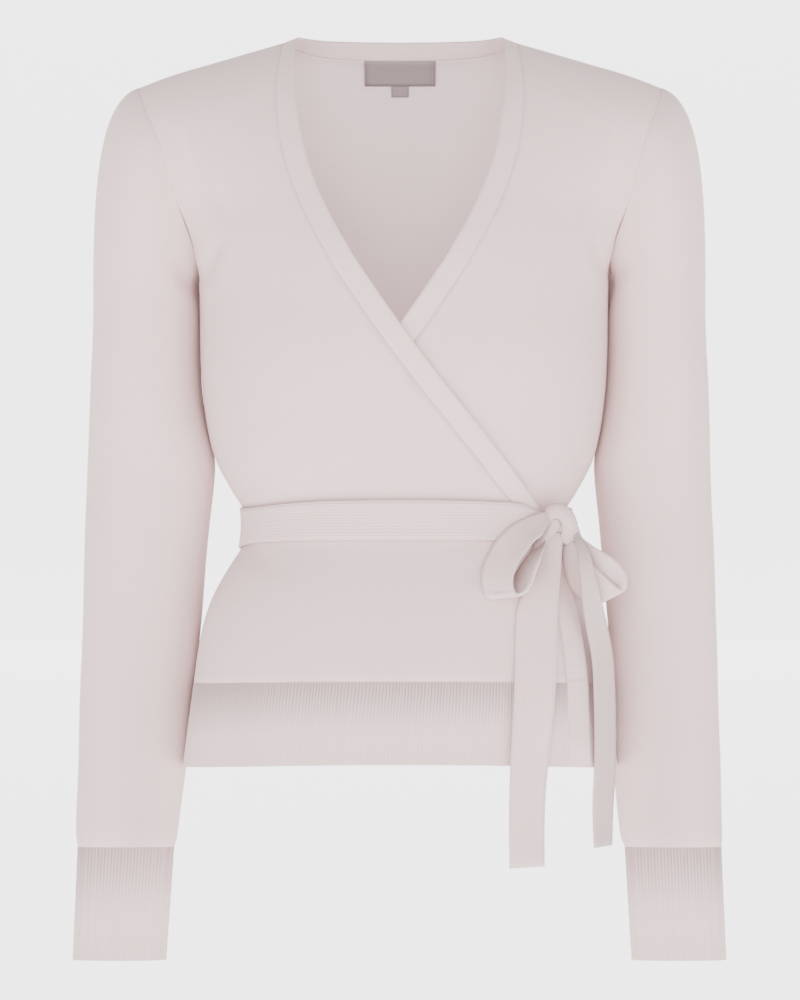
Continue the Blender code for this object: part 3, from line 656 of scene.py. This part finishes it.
    @staticmethod
    def run_through(rows: Sequence[Sequence[float]], count: int) -> np.ndarray:
        """Draw a smooth run through the rows of a table.

        Args:
            rows: the table's rows of numbers.
            count: how many rows the run has.

        Returns:
            The run, with the first and last rows as its ends.
        """
        table = np.array([tuple(row) for row in rows])
        table = np.concatenate([2 * table[:1] - table[1:2], table,
                                2 * table[-1:] - table[-2:-1]])
        found = []
        for share in np.linspace(0.0, len(rows) - 1.0, count):
            start = min(int(share), len(rows) - 2)
            a, b, c, d = table[start:start + 4]
            t = share - start
            found.append(0.5 * (2 * b + (c - a) * t + (2 * a - 5 * b + 4 * c - d) * t ** 2
                                + (3 * b - a - 3 * c + d) * t ** 3))
        return np.array(found)

    @staticmethod
    def swell(thing: bpy.types.Object, amount: float) -> None:
        """Grow a piece a little on every side, to close its seam gaps.

        Args:
            thing: the piece.
            amount: metres.
        """
        mesh = thing.data
        MeshKit.place(mesh, MeshKit.points(mesh) + MeshKit.normals(mesh) * amount)

    @staticmethod
    def mark_grooves(thing: bpy.types.Object) -> None:
        """Store how deep in a groove each point of a ribbed piece lies.

        Args:
            thing: the ribbed piece.
        """
        mesh = thing.data
        points = MeshKit.points(mesh)
        normals = MeshKit.normals(mesh)
        ends = np.array([edge.vertices[:] for edge in mesh.edges])
        total = np.zeros(len(points))
        count = np.zeros(len(points))
        for first, second in (ends.T, ends.T[::-1]):
            step = points[second] - points[first]
            near = np.linalg.norm(step, axis=1) < RIB_NEIGHBOUR
            rise = np.einsum("ij,ij->i", step, normals[first])
            np.add.at(total, first[near], rise[near])
            np.add.at(count, first[near], 1.0)
        depth = total / np.maximum(count, 1.0)
        layer = mesh.attributes.new("groove", "FLOAT", "POINT")
        layer.data.foreach_set("value", np.clip(depth / RIB_RISE * 0.5 + 0.5, 0.0, 1.0))

    @staticmethod
    def shell(name: str, grid: np.ndarray, thickness: float) -> bpy.types.Object:
        """Build a strap from a grid of points.

        Args:
            name: the piece's name.
            grid: points as rows along and columns across.
            thickness: the wall's thickness.

        Returns:
            The new object, with its wall applied.
        """
        rows, columns = grid.shape[:2]
        mesh = bpy.data.meshes.new(name)
        faces = []
        for row in range(rows - 1):
            for column in range(columns - 1):
                corner = row * columns + column
                faces.append((corner, corner + columns, corner + columns + 1, corner + 1))
        mesh.from_pydata(grid.reshape(-1, 3).tolist(), [], faces)
        layer = mesh.attributes.new("across", "FLOAT", "POINT")
        shares = 1.0 - np.abs(np.linspace(-1.0, 1.0, columns))
        layer.data.foreach_set("value", np.tile(shares, rows))
        thing = put(name, mesh)
        modifier = thing.modifiers.new("wall", "SOLIDIFY")
        modifier.thickness = thickness
        modifier.offset = 0.0
        modifier.use_even_offset = True
        solid = MeshKit.settled(thing)
        thing.modifiers.clear()
        thing.data = solid
        solid.name = name
        solid.shade_smooth()
        return thing


@dataclass(frozen=True)
class Folds:
    """Creases given one by one, and how they move cloth.

    Attributes:
        rows: the creases; a positive depth is a trough.
        middle_x: the x of the tube's axis.
        middle_y: the y of the tube's axis.
    """

    rows: Sequence[CreaseRow]
    middle_x: float = 0.0
    middle_y: float = 0.0

    def _along(self, row: CreaseRow, points: np.ndarray) -> tuple:
        """Find each point's nearest place on a crease.

        Args:
            row: the crease.
            points: rows x, y, z.

        Returns:
            Signed distance and share along, as arrays.
        """
        t = np.linspace(0.0, 1.0, CREASE_POINTS)
        line = np.stack([(1 - t) ** 2 * a + 2 * t * (1 - t) * b + t ** 2 * c
                         for a, b, c in ((row.x0, row.x1, row.x2),
                                         (row.z0, row.z1, row.z2))], axis=1)
        gap = points[:, None, [0, 2]] - line[None]
        reach = np.hypot(gap[..., 0], gap[..., 1])
        best = reach.argmin(axis=1)
        step = np.gradient(line, axis=0)[best]
        near = gap[np.arange(len(points)), best]
        side = np.sign(step[:, 0] * near[:, 1] - step[:, 1] * near[:, 0])
        return reach.min(axis=1) * side, t[best]

    def sink(self, points: np.ndarray) -> np.ndarray:
        """Work out how far in each point goes.

        Args:
            points: rows x, y, z.

        Returns:
            Metres inward for each point.
        """
        total = np.zeros(len(points))
        for row in self.rows:
            off, share = self._along(row, points)
            taper = np.sin(np.pi * np.clip(share, 0.0, 1.0)) ** CREASE_TAPER
            trough = np.exp(-(off / row.width) ** 2)
            lip = np.exp(-((np.abs(off) - LIP_PLACE * row.width) / row.width) ** 2)
            facing = (points[:, 1] - self.middle_y) * row.face.value
            total += (row.depth * taper * (trough - row.ridge * lip)
                      * np.clip(facing / FACE_BLEND, 0.0, 1.0))
        return total

    def apply(self, thing: bpy.types.Object) -> None:
        """Press the creases into a piece.

        Args:
            thing: the piece.
        """
        points = MeshKit.points(thing.data)
        MeshKit.place(thing.data, points - self.outward(points) * self.sink(points)[:, None])

    def outward(self, points: np.ndarray) -> np.ndarray:
        """Return level directions away from the tube's axis.

        Args:
            points: rows x, y, z.

        Returns:
            Unit directions.
        """
        away = np.stack([(points[:, 0] - self.middle_x) * SIDE_SHARE,
                         points[:, 1] - self.middle_y, np.zeros(len(points))], axis=1)
        return away / np.maximum(np.linalg.norm(away, axis=1), LEAST_LENGTH)[:, None]


def px(column: float) -> float:
    """Return the x in metres of a column of the photograph.

    Args:
        column: pixels from the left.

    Returns:
        Metres.
    """
    return (column - PHOTO_MIDDLE_X) * PIXEL


def pz(row: float) -> float:
    """Return the z in metres of a row of the photograph.

    Args:
        row: pixels from the top.

    Returns:
        Metres.
    """
    return (PHOTO_TOP_ROW - row) * PIXEL


def at_depth(column: float, row: float, y: float) -> tuple:
    """Return the point behind a pixel of the photograph, at a given depth.

    Args:
        column: pixels from the left.
        row: pixels from the top.
        y: the point's own y in metres.

    Returns:
        The x, y and z in metres.
    """
    nearer = 1.0 + y / VIEW_DISTANCE
    middle_z = -PHOTO_HEIGHT * PIXEL / 2 + PHOTO_TOP_ROW * PIXEL
    return (px(column) * nearer, y, middle_z + (pz(row) - middle_z) * nearer)


def crease(face: Face, points: Sequence[tuple], depth: float, width: float,
           ridge: float = 0.35) -> CreaseRow:
    """Make a crease from three pixels of the photograph.

    Args:
        face: the side it lies on.
        points: three (column, row) pixels: start, bend and end.
        depth: metres inward, or outward if negative.
        width: half width in metres.
        ridge: how much the cloth beside it rises.

    Returns:
        The crease.
    """
    (a, b), (c, d), (e, f) = points
    return CreaseRow(face, px(a), pz(b), px(c), pz(d), px(e), pz(f), depth, width, ridge)


@dataclass(frozen=True)
class Cut:
    """How a piece of cloth was cut before it was worn.

    Attributes:
        width: metres across the cut, all round on a tube.
        length: metres down the cut.
        area: flat area in square metres where the cut isn't a rectangle.
        held: how it is held, such as hung.
    """

    width: float
    length: float
    area: Optional[float] = None
    held: str = "hung"


class Piece:
    """One sewn piece: it replaces a solid and rides on the body."""

    def __init__(self, node: str, cut: Cut, rests_on: Sequence[str] = ()) -> None:
        """Name a piece.

        Args:
            node: the solid that it replaces.
            cut: its flat cut; stored but not used.
            rests_on: the nodes that it is sewn to or lies on; stored but not used.
        """
        self.node = node
        self.cut = cut
        self.rests_on = list(rests_on)

    def finish(self, thing: bpy.types.Object, material: bpy.types.Material,
               purl_and_painted_light: Optional[bpy.types.Material] = None) -> None:
        """Give a mesh its cloth and its place in the frame.

        Args:
            thing: the mesh object.
            material: its cloth.
            purl_and_painted_light: the cloth's other side, for the faces that look inward;
                lighter as a purl side is, and lighter still as painted light where the inside
                lies in shade.
        """
        MeshKit.swell(thing, SEAM_SWELL.get(self.node.split("_")[0], SWELL))
        thing.data.materials.clear()
        thing.data.materials.append(material)
        if purl_and_painted_light is not None:
            thing.data.materials.append(purl_and_painted_light)
            # Faces looking inward take the inner cloth, with its painted light for the shaded
            # inside.
            for face in thing.data.polygons:
                away = (face.center.x * face.normal.x * SIDE_SHARE
                        + face.center.y * face.normal.y)
                face.material_index = 1 if away < 0.0 else 0
        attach(thing, "root")
        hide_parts(self.node)
        LOG.info("%s: %d faces", thing.name, len(thing.data.polygons))


class Bodice:
    """The back, the two wrapped fronts and the ribbed hems below them."""

    @dataclass(frozen=True)
    class Size:
        """Sizes of the body of the cardigan, in metres."""

        back: Cut = Cut(0.50, 0.52, 0.205)
        front: Cut = Cut(0.34, 0.50, 0.108)
        hem_back: Cut = Cut(0.375, 0.064)
        hem_right: Cut = Cut(0.305, 0.064)
        hem_left: Cut = Cut(0.330, 0.066)
        levels: int = 2
        armpit_z: float = -0.175
        armpit_reach: float = 0.026
        armpit_rounds: int = 60

    BACK_FOLDS = Folds([
        crease(Face.BACK, ((205, 250), (236, 262), (285, 258)), 0.0024, 0.010),
        crease(Face.BACK, ((594, 252), (560, 266), (520, 258)), 0.0022, 0.009),
        crease(Face.BACK, ((262, 512), (300, 476), (352, 462)), 0.0020, 0.011),
        crease(Face.BACK, ((545, 508), (500, 470), (452, 468)), 0.0022, 0.012),
        crease(Face.BACK, ((330, 505), (400, 492), (468, 505)), 0.0014, 0.008),
        crease(Face.BACK, ((300, 560), (350, 590), (402, 575)), 0.0012, 0.012),
    ])
    FRONT_FOLDS = Folds([
        crease(Face.FRONT, ((182, 138), (197, 190), (226, 222)), 0.0030, 0.0065, 0.5),
        crease(Face.FRONT, ((199, 286), (214, 262), (222, 240)), 0.0022, 0.0060, 0.4),
        crease(Face.FRONT, ((617, 138), (601, 190), (578, 220)), 0.0022, 0.0070, 0.4),
        crease(Face.FRONT, ((608, 283), (600, 262), (590, 240)), 0.0020, 0.0060, 0.4),
        crease(Face.FRONT, ((420, 346), (427, 358), (434, 370)), 0.0014, 0.0035, 0.4),
        crease(Face.FRONT, ((548, 498), (508, 470), (452, 452)), 0.0015, 0.0065, 0.5),
        crease(Face.FRONT, ((546, 502), (520, 486), (482, 482)), 0.0012, 0.0042, 0.5),
        crease(Face.FRONT, ((548, 540), (500, 566), (440, 580)), 0.0013, 0.0080, 0.5),
        crease(Face.FRONT, ((240, 496), (262, 470), (300, 452)), 0.0012, 0.0080, 0.4),
        crease(Face.FRONT, ((236, 540), (258, 560), (300, 572)), 0.0011, 0.0080, 0.4),
        crease(Face.FRONT, ((590, 490), (580, 462), (566, 440)), 0.0012, 0.0050, 0.4),
    ])
    WAIST_TUGS = (
        TugRow(-0.1180, 0.0000, -0.3455, 0.0130, -0.0042, 0.0000, 0.0000, 0.0400),
        TugRow(0.1260, 0.0000, -0.3475, 0.0140, 0.0046, 0.0000, 0.0000, 0.0400),
    )

    def __init__(self, size: Size = Size()) -> None:
        """Keep the sizes.

        Args:
            size: the cuts and the fineness.
        """
        self.size = size

    def build(self, nodes: dict, plain: bpy.types.Material, ribbed: bpy.types.Material,
              purl_and_painted_light: bpy.types.Material) -> None:
        """Make and dress the panels and hems.

        Args:
            nodes: the frame's solids by name.
            plain: the smooth knit.
            ribbed: the hem's knit.
            purl_and_painted_light: the smooth knit's other side, lighter as purl and with
                painted light for the shaded inside.
        """
        panels = (("back_panel", self.size.back, self.BACK_FOLDS,
                   ("sleeve_right", "sleeve_left", "front_right", "front_left")),
                  ("front_right", self.size.front, self.FRONT_FOLDS, ("back_panel",)),
                  ("front_left", self.size.front, self.FRONT_FOLDS, ("back_panel",)))
        for node, cut, folds, rests in panels:
            thing = MeshKit.fine(nodes, node, self.size.levels)
            MeshKit.relax(thing, self.size.armpit_z, self.size.armpit_reach,
                          self.size.armpit_rounds)
            MeshKit.tug(thing, self.WAIST_TUGS)
            folds.apply(thing)
            Piece(node, cut, rests).finish(thing, plain, purl_and_painted_light)
        hems = (("hem_back", self.size.hem_back, "back_panel"),
                ("hem_right", self.size.hem_right, "front_right"),
                ("hem_left", self.size.hem_left, "front_left"))
        for node, cut, above in hems:
            thing = MeshKit.fine(nodes, node, 0)
            MeshKit.mark_grooves(thing)
            Piece(node, cut, (above,)).finish(thing, ribbed)


class Arm:
    """One sleeve with its cuff."""

    @dataclass(frozen=True)
    class Size:
        """Sizes of a sleeve, in metres."""

        sleeve: Cut = Cut(0.300, 0.590, 0.131)
        cuff: Cut = Cut(0.148, 0.087)
        levels: int = 2
        middle_x: float = 0.203
        middle_y: float = 0.012
        knit_y: float = 0.02
        knit_radius: float = 0.04
        hug: float = 0.0042
        hug_x: float = 0.166
        hug_y: float = 0.0135
        hug_reach: float = 0.015
        hug_top: float = -0.160
        hug_low: float = -0.302
        hug_fade: float = 0.018

    RIGHT_ROWS = (
        crease(Face.FRONT, ((176, 262), (188, 282), (203, 300)), 0.0026, 0.0070, 0.4),
        crease(Face.FRONT, ((150, 470), (166, 486), (190, 484)), 0.0013, 0.0080, 0.5),
        crease(Face.FRONT, ((188, 520), (170, 534), (146, 528)), 0.0012, 0.0090, 0.5),
        crease(Face.BACK, ((190, 410), (168, 440), (142, 430)), 0.0020, 0.0100, 0.5),
        crease(Face.BACK, ((190, 470), (168, 488), (142, 484)), 0.0020, 0.0090, 0.5),
        crease(Face.FRONT, ((132, 840), (150, 850), (172, 846)), 0.0010, 0.0070, 0.5),
    )
    LEFT_ROWS = (
        crease(Face.FRONT, ((622, 262), (612, 282), (602, 300)), 0.0026, 0.0070, 0.4),
        crease(Face.FRONT, ((652, 452), (630, 470), (608, 466)), 0.0013, 0.0090, 0.5),
        crease(Face.FRONT, ((612, 548), (634, 560), (656, 552)), 0.0012, 0.0090, 0.5),
        crease(Face.BACK, ((610, 410), (632, 440), (658, 430)), 0.0020, 0.0100, 0.5),
        crease(Face.BACK, ((610, 470), (632, 488), (658, 484)), 0.0020, 0.0090, 0.5),
        crease(Face.FRONT, ((668, 838), (650, 848), (628, 844)), 0.0010, 0.0070, 0.5),
    )

    def __init__(self, hand: Hand, size: Size = Size()) -> None:
        """Choose the side.

        Args:
            hand: the wearer's side.
            size: the cuts and the fineness.
        """
        self.hand = hand
        self.side = 1.0 if hand is Hand.LEFT else -1.0
        self.size = size

    def build(self, nodes: dict, ribbed: bpy.types.Material) -> None:
        """Make and dress the sleeve and cuff.

        Args:
            nodes: the frame's solids by name.
            ribbed: the cuff's knit.
        """
        size = self.size
        middle = self.side * size.middle_x
        rows = self.RIGHT_ROWS if self.hand is Hand.RIGHT else self.LEFT_ROWS
        folds = Folds(rows, middle, size.middle_y)
        sleeve, cuff = f"sleeve_{self.hand.value}", f"cuff_{self.hand.value}"
        knit = Knit(f"knit_{sleeve}", CLOTH, Course.ROUND_TUBE, WALE, centre_x=middle,
                    centre_y=size.knit_y, radius=size.knit_radius)
        thing = MeshKit.fine(nodes, sleeve, size.levels)
        self.lean(thing)
        folds.apply(thing)
        Piece(sleeve, size.sleeve, ("back_panel",)).finish(thing, knit.make())
        thing = MeshKit.fine(nodes, cuff, 0)
        MeshKit.mark_grooves(thing)
        Piece(cuff, size.cuff, (sleeve,)).finish(thing, ribbed)

    def lean(self, thing: bpy.types.Object) -> None:
        """Let the upper sleeve lean on the body behind its side edge.

        Args:
            thing: the sleeve.
        """
        size = self.size
        points = MeshKit.points(thing.data)
        off = np.hypot(points[:, 0] * self.side - size.hug_x, points[:, 1] - size.hug_y)
        height = np.clip((size.hug_top - points[:, 2]) / size.hug_fade, 0.0, 1.0) * np.clip(
            (points[:, 2] - size.hug_low) / size.hug_fade, 0.0, 1.0)
        share = np.exp(-(off / size.hug_reach) ** 2) * height * height * (3.0 - 2.0 * height)
        points[:, 0] -= self.side * size.hug * share
        MeshKit.place(thing.data, points)


class Bands:
    """The narrow band round the neck and down both front edges."""

    @dataclass(frozen=True)
    class Size:
        """Sizes of the band, in metres."""

        side: Cut = Cut(0.016, 0.750, 0.0119)
        back: Cut = Cut(0.200, 0.0125)
        levels: int = 2

    def __init__(self, size: Size = Size()) -> None:
        """Keep the sizes.

        Args:
            size: the cuts and the fineness.
        """
        self.size = size

    def build(self, nodes: dict, knit: bpy.types.Material) -> None:
        """Make and dress the three lengths of band.

        Args:
            nodes: the frame's solids by name.
            knit: the band's knit.
        """
        for node, cut, beside in (("band_right", self.size.side, "front_right"),
                                  ("band_left", self.size.side, "front_left"),
                                  ("band_back", self.size.back, "back_panel")):
            thing = MeshKit.fine(nodes, node, self.size.levels)
            Piece(node, cut, (beside,)).finish(thing, knit)


class TieBelt:
    """The belt round the waist and its bow."""

    @dataclass(frozen=True)
    class Size:
        """Sizes of the belt, in metres."""

        waist: Cut = Cut(0.033, 0.640, 0.0207)
        loop_left: Cut = Cut(0.033, 0.150, 0.0040)
        loop_right: Cut = Cut(0.033, 0.125, 0.0029)
        tail_left: Cut = Cut(0.033, 0.245, 0.0075)
        tail_right: Cut = Cut(0.033, 0.240, 0.0066)
        knot: Cut = Cut(0.033, 0.022, 0.0007)
        wrap: Cut = Cut(0.033, 0.022, 0.00045)
        rows_made: int = 41
        columns_made: int = 13
        crown: float = 0.0014
        crown_power: float = 0.8
        outer_drop: float = 0.0048
        inner_drop: float = 0.0010
        fold_drop: float = 0.0022
        wall: float = 0.0013
        levels: int = 2

    WRAP_ROWS = (
        WrapRow(544.0, 511.0, 549.0, 524.0, -0.0672),
        WrapRow(546.5, 507.6, 551.0, 520.4, -0.0698),
        WrapRow(551.5, 505.0, 553.6, 518.2, -0.0708),
        WrapRow(559.0, 504.4, 557.2, 518.6, -0.0712),
        WrapRow(566.6, 507.0, 560.2, 520.8, -0.0712),
        WrapRow(572.4, 513.6, 561.6, 524.0, -0.0710),
        WrapRow(575.8, 521.8, 561.8, 528.2, -0.0706),
        WrapRow(577.0, 530.2, 561.0, 532.8, -0.0702),
        WrapRow(576.4, 537.6, 560.6, 537.6, -0.0698),
        WrapRow(572.6, 543.2, 562.0, 542.0, -0.0688),
        WrapRow(567.0, 545.4, 563.6, 543.4, -0.0666),
    )
    FOLD_ROWS = (
        FoldRow(559.8, 517.0, 5.6, -0.0660),
        FoldRow(556.4, 521.6, 6.2, -0.0690),
        FoldRow(552.0, 527.4, 5.8, -0.0704),
        FoldRow(547.2, 533.6, 5.0, -0.0720),
        FoldRow(542.6, 540.4, 4.8, -0.0748),
        FoldRow(538.4, 547.0, 4.6, -0.0790),
        FoldRow(534.8, 553.4, 4.0, -0.0830),
    )
    WAIST_TUGS = (
        TugRow(-0.1210, 0.0000, -0.3520, 0.0120, -0.0018, 0.0000, 0.0000, 0.0400),
        TugRow(0.1290, 0.0000, -0.3560, 0.0150, 0.0036, 0.0000, 0.0000, 0.0400),
        TugRow(-0.1240, 0.0000, -0.3850, 0.0100, 0.0012, 0.0000, -0.0028, 0.0500),
    )
    LOOP_LEFT_TUGS = (
        TugRow(0.1080, -0.0860, -0.3700, 0.0120, 0.0000, -0.0004, -0.0040),
        TugRow(0.0960, -0.1040, -0.3820, 0.0120, 0.0000, 0.0000, -0.0020),
    )
    TAIL_LEFT_TUGS = (
        TugRow(0.1190, -0.0645, -0.3838, 0.0120, 0.0010, -0.0028, 0.0125),
        TugRow(0.1090, -0.0720, -0.3930, 0.0090, -0.0045, 0.0000, 0.0000),
    )
    TAIL_RIGHT_TUGS = (
        TugRow(0.1560, -0.0880, -0.4420, 0.0220, -0.0018, 0.0000, 0.0000),
    )
    LOOP_RIGHT_TUGS = (
        TugRow(0.1300, -0.0670, -0.3860, 0.0100, -0.0036, 0.0020, 0.0084),
        TugRow(0.1400, -0.0650, -0.3750, 0.0070, -0.0014, 0.0000, -0.0010),
    )

    def __init__(self, size: Size = Size()) -> None:
        """Keep the sizes.

        Args:
            size: the cuts and the fineness.
        """
        self.size = size

    def build(self, nodes: dict, knit: bpy.types.Material,
              painted_shade_belt: bpy.types.Material) -> None:
        """Make and dress the belt, knot, loops and tails.

        Args:
            nodes: the frame's solids by name.
            knit: the belt's knit.
            painted_shade_belt: a darker, greyer copy of the belt's knit, painted shade for the
                right tail.
        """
        for node, cut, beside, tugs, cloth in (
                ("belt_waist", self.size.waist, "front_right", self.WAIST_TUGS, knit),
                ("loop_left", self.size.loop_left, "knot", self.LOOP_LEFT_TUGS, knit),
                ("loop_right", self.size.loop_right, "knot", self.LOOP_RIGHT_TUGS, knit),
                ("tail_left", self.size.tail_left, "knot", self.TAIL_LEFT_TUGS, knit),
                ("tail_right", self.size.tail_right, "knot", self.TAIL_RIGHT_TUGS, painted_shade_belt)):
            thing = MeshKit.fine(nodes, node, self.size.levels, True)
            MeshKit.tug(thing, tugs)
            Piece(node, cut, (beside,)).finish(thing, cloth)
        Piece("knot", self.size.knot, ("front_right",)).finish(self.core(nodes), knit)
        Piece("knot_wrap", self.size.wrap, ("knot",)).finish(self.wrap(), knit)

    def core(self, nodes: dict) -> bpy.types.Object:
        """Make the knot's core, with the small fold of strap that shows in its middle.

        Args:
            nodes: the frame's solids by name.

        Returns:
            The core.
        """
        size = self.size
        thing = MeshKit.fine(nodes, "knot", size.levels)
        line = MeshKit.run_through(self.FOLD_ROWS, size.rows_made)
        step = np.gradient(line[:, :2], axis=0)
        step /= np.linalg.norm(step, axis=1)[:, None]
        grid = []
        for (column, row, half, front), (along_x, along_y) in zip(line, step):
            cross = []
            for part in np.linspace(-1.0, 1.0, size.columns_made):
                cross.append(at_depth(column - along_y * half * part,
                                      row + along_x * half * part,
                                      front + size.fold_drop * part ** 2))
            grid.append(cross)
        fold = MeshKit.shell("fold", np.array(grid)[:, ::-1], size.wall)
        MeshKit.join(thing, fold)
        return thing

    def wrap(self) -> bpy.types.Object:
        """Make the strap that hooks over the knot's right side.

        Returns:
            The wrap.
        """
        size = self.size
        grid = []
        for outer_x, outer_y, inner_x, inner_y, front in MeshKit.run_through(
                self.WRAP_ROWS, size.rows_made):
            cross = []
            for part in np.linspace(0.0, 1.0, size.columns_made):
                back = size.outer_drop * part ** 3 + size.inner_drop * (1.0 - part) ** 2
                crown = size.crown * math.sin(math.pi * part) ** size.crown_power
                cross.append(at_depth(inner_x + (outer_x - inner_x) * part,
                                      inner_y + (outer_y - inner_y) * part,
                                      front + back - crown))
            grid.append(cross)
        return MeshKit.shell(PIECE_NAME.format("knot_wrap"), np.array(grid)[:, ::-1], size.wall)


class Labels:
    """The woven label and the small tab below it.

    Both are lifted to sit right under the band, and follow the slope of the back as they rise.
    """

    @dataclass(frozen=True)
    class Size:
        """Sizes of the labels, and how far each height moves forward as it is lifted."""

        label: Cut = Cut(0.0554, 0.019)
        tab: Cut = Cut(0.0134, 0.0110)
        levels: int = 1
        lift: float = 0.0039
        heights: tuple = (-0.0367, -0.0286, -0.0193, -0.0139, -0.0099)
        moves_y: tuple = (-0.0028, -0.0034, -0.0039, -0.0048, -0.0060)

    def __init__(self, size: Size = Size()) -> None:
        """Keep the sizes.

        Args:
            size: the cuts and the lift.
        """
        self.size = size

    def build(self, nodes: dict, woven: bpy.types.Material) -> None:
        """Make and dress both labels.

        Args:
            nodes: the frame's solids by name.
            woven: their cloth.
        """
        size = self.size
        for node, cut in (("neck_label", size.label), ("size_tab", size.tab)):
            thing = MeshKit.fine(nodes, node, size.levels)
            points = MeshKit.points(thing.data)
            points[:, 1] += np.interp(points[:, 2], size.heights, size.moves_y)
            points[:, 2] += size.lift
            MeshKit.place(thing.data, points)
            Piece(node, cut, ("back_panel",)).finish(thing, woven)


class Studio:
    """The camera, the soft lights and the pale backdrop."""

    @dataclass(frozen=True)
    class Size:
        """Places and strengths in the studio."""

        floor_z: float = -0.80
        wall_y: float = 20.0
        reach: float = 45.0
        bend: float = 3.0
        pale: tuple = (0.86, 0.86, 0.86, 1.0)
        target_z: float = -0.3465
        glow: float = 2.95
        sky: float = 0.64
        bend_steps: int = 12
        clip_end: float = 200.0
        lights: tuple = (
            LightRow("key", (-1.6, -3.4, 1.6), 2.4, 60.0),
            LightRow("fill", (2.2, -3.2, 0.6), 2.6, 38.0),
            LightRow("front", (0.0, -4.4, 0.1), 2.0, 118.0),
        )

    def __init__(self, size: Size = Size()) -> None:
        """Keep the sizes.

        Args:
            size: places and strengths.
        """
        self.size = size

    def backdrop(self) -> None:
        """Build the floor that bends up into a wall."""
        size = self.size
        profile = [(-size.reach, size.floor_z)]
        for step in range(size.bend_steps + 1):
            turn = math.pi / 2 * step / size.bend_steps
            profile.append((size.wall_y - size.bend + size.bend * math.sin(turn),
                            size.floor_z + size.bend - size.bend * math.cos(turn)))
        profile.append((size.wall_y, size.floor_z + size.reach))
        points = [(x, y, z) for y, z in profile for x in (-size.reach, size.reach)]
        faces = [(2 * i, 2 * i + 1, 2 * i + 3, 2 * i + 2) for i in range(len(profile) - 1)]
        mesh = bpy.data.meshes.new("backdrop")
        mesh.from_pydata(points, [], faces)
        mesh.shade_smooth()
        thing = put("backdrop", mesh)
        material = bpy.data.materials.new("backdrop_paper")
        graph = Graph(material)
        shader = graph.node("BsdfPrincipled", None, {
            "Base Color": size.pale, "Roughness": 0.9, "Specular IOR Level": 0.1,
            "Emission Color": size.pale, "Emission Strength": size.glow})
        graph.node("OutputMaterial", None, {"Surface": Sock(graph, shader.outputs[0])})
        mesh.materials.append(material)

    def light(self, row: LightRow) -> None:
        """Add one soft square light aimed at the garment.

        Args:
            row: the light.
        """
        data = bpy.data.lights.new(row.name, "AREA")
        data.size = row.width
        data.energy = row.power
        thing = put(row.name, data)
        thing.location = row.place
        aim = Vector((0, 0, self.size.target_z)) - Vector(row.place)
        thing.rotation_euler = aim.to_track_quat("-Z", "Y").to_euler()

    def sky(self) -> None:
        """Light the whole room softly from all round."""
        world = bpy.data.worlds.new("studio")
        world.use_nodes = True
        background = world.node_tree.nodes["Background"]
        background.inputs["Color"].default_value = (1, 1, 1, 1)
        background.inputs["Strength"].default_value = self.size.sky
        bpy.context.scene.world = world

    def camera(self) -> None:
        """Set up the camera straight in front, with the photograph's frame."""
        data = bpy.data.cameras.new("view")
        data.sensor_width = SENSOR
        data.lens = SENSOR * VIEW_DISTANCE / (PHOTO_HEIGHT * PIXEL)
        data.clip_end = self.size.clip_end
        camera = put("view", data)
        camera.location = (0, -VIEW_DISTANCE, self.size.target_z)
        camera.rotation_euler = (math.pi / 2, 0, 0)
        bpy.context.scene.camera = camera

    def build(self) -> None:
        """Set up the whole studio."""
        self.backdrop()
        self.sky()
        for row in self.size.lights:
            self.light(row)
        self.camera()


def main() -> None:
    """Build the cardigan piece by piece, then the studio."""
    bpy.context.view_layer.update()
    nodes = frame["nodes"]
    ribbed = RIB_KNIT.make()
    Bodice().build(nodes, BODY_KNIT.make(), ribbed, PURL_AND_PAINTED_LIGHT_KNIT.make())
    for hand in Hand:
        Arm(hand).build(nodes, ribbed)
    Bands().build(nodes, BAND_KNIT.make())
    TieBelt().build(nodes, BELT_KNIT.make(), PAINTED_SHADE_BELT_KNIT.make())
    Labels().build(nodes, LABEL_WEAVE.make())
    Studio().build()


if __name__ == "__main__":
    main()
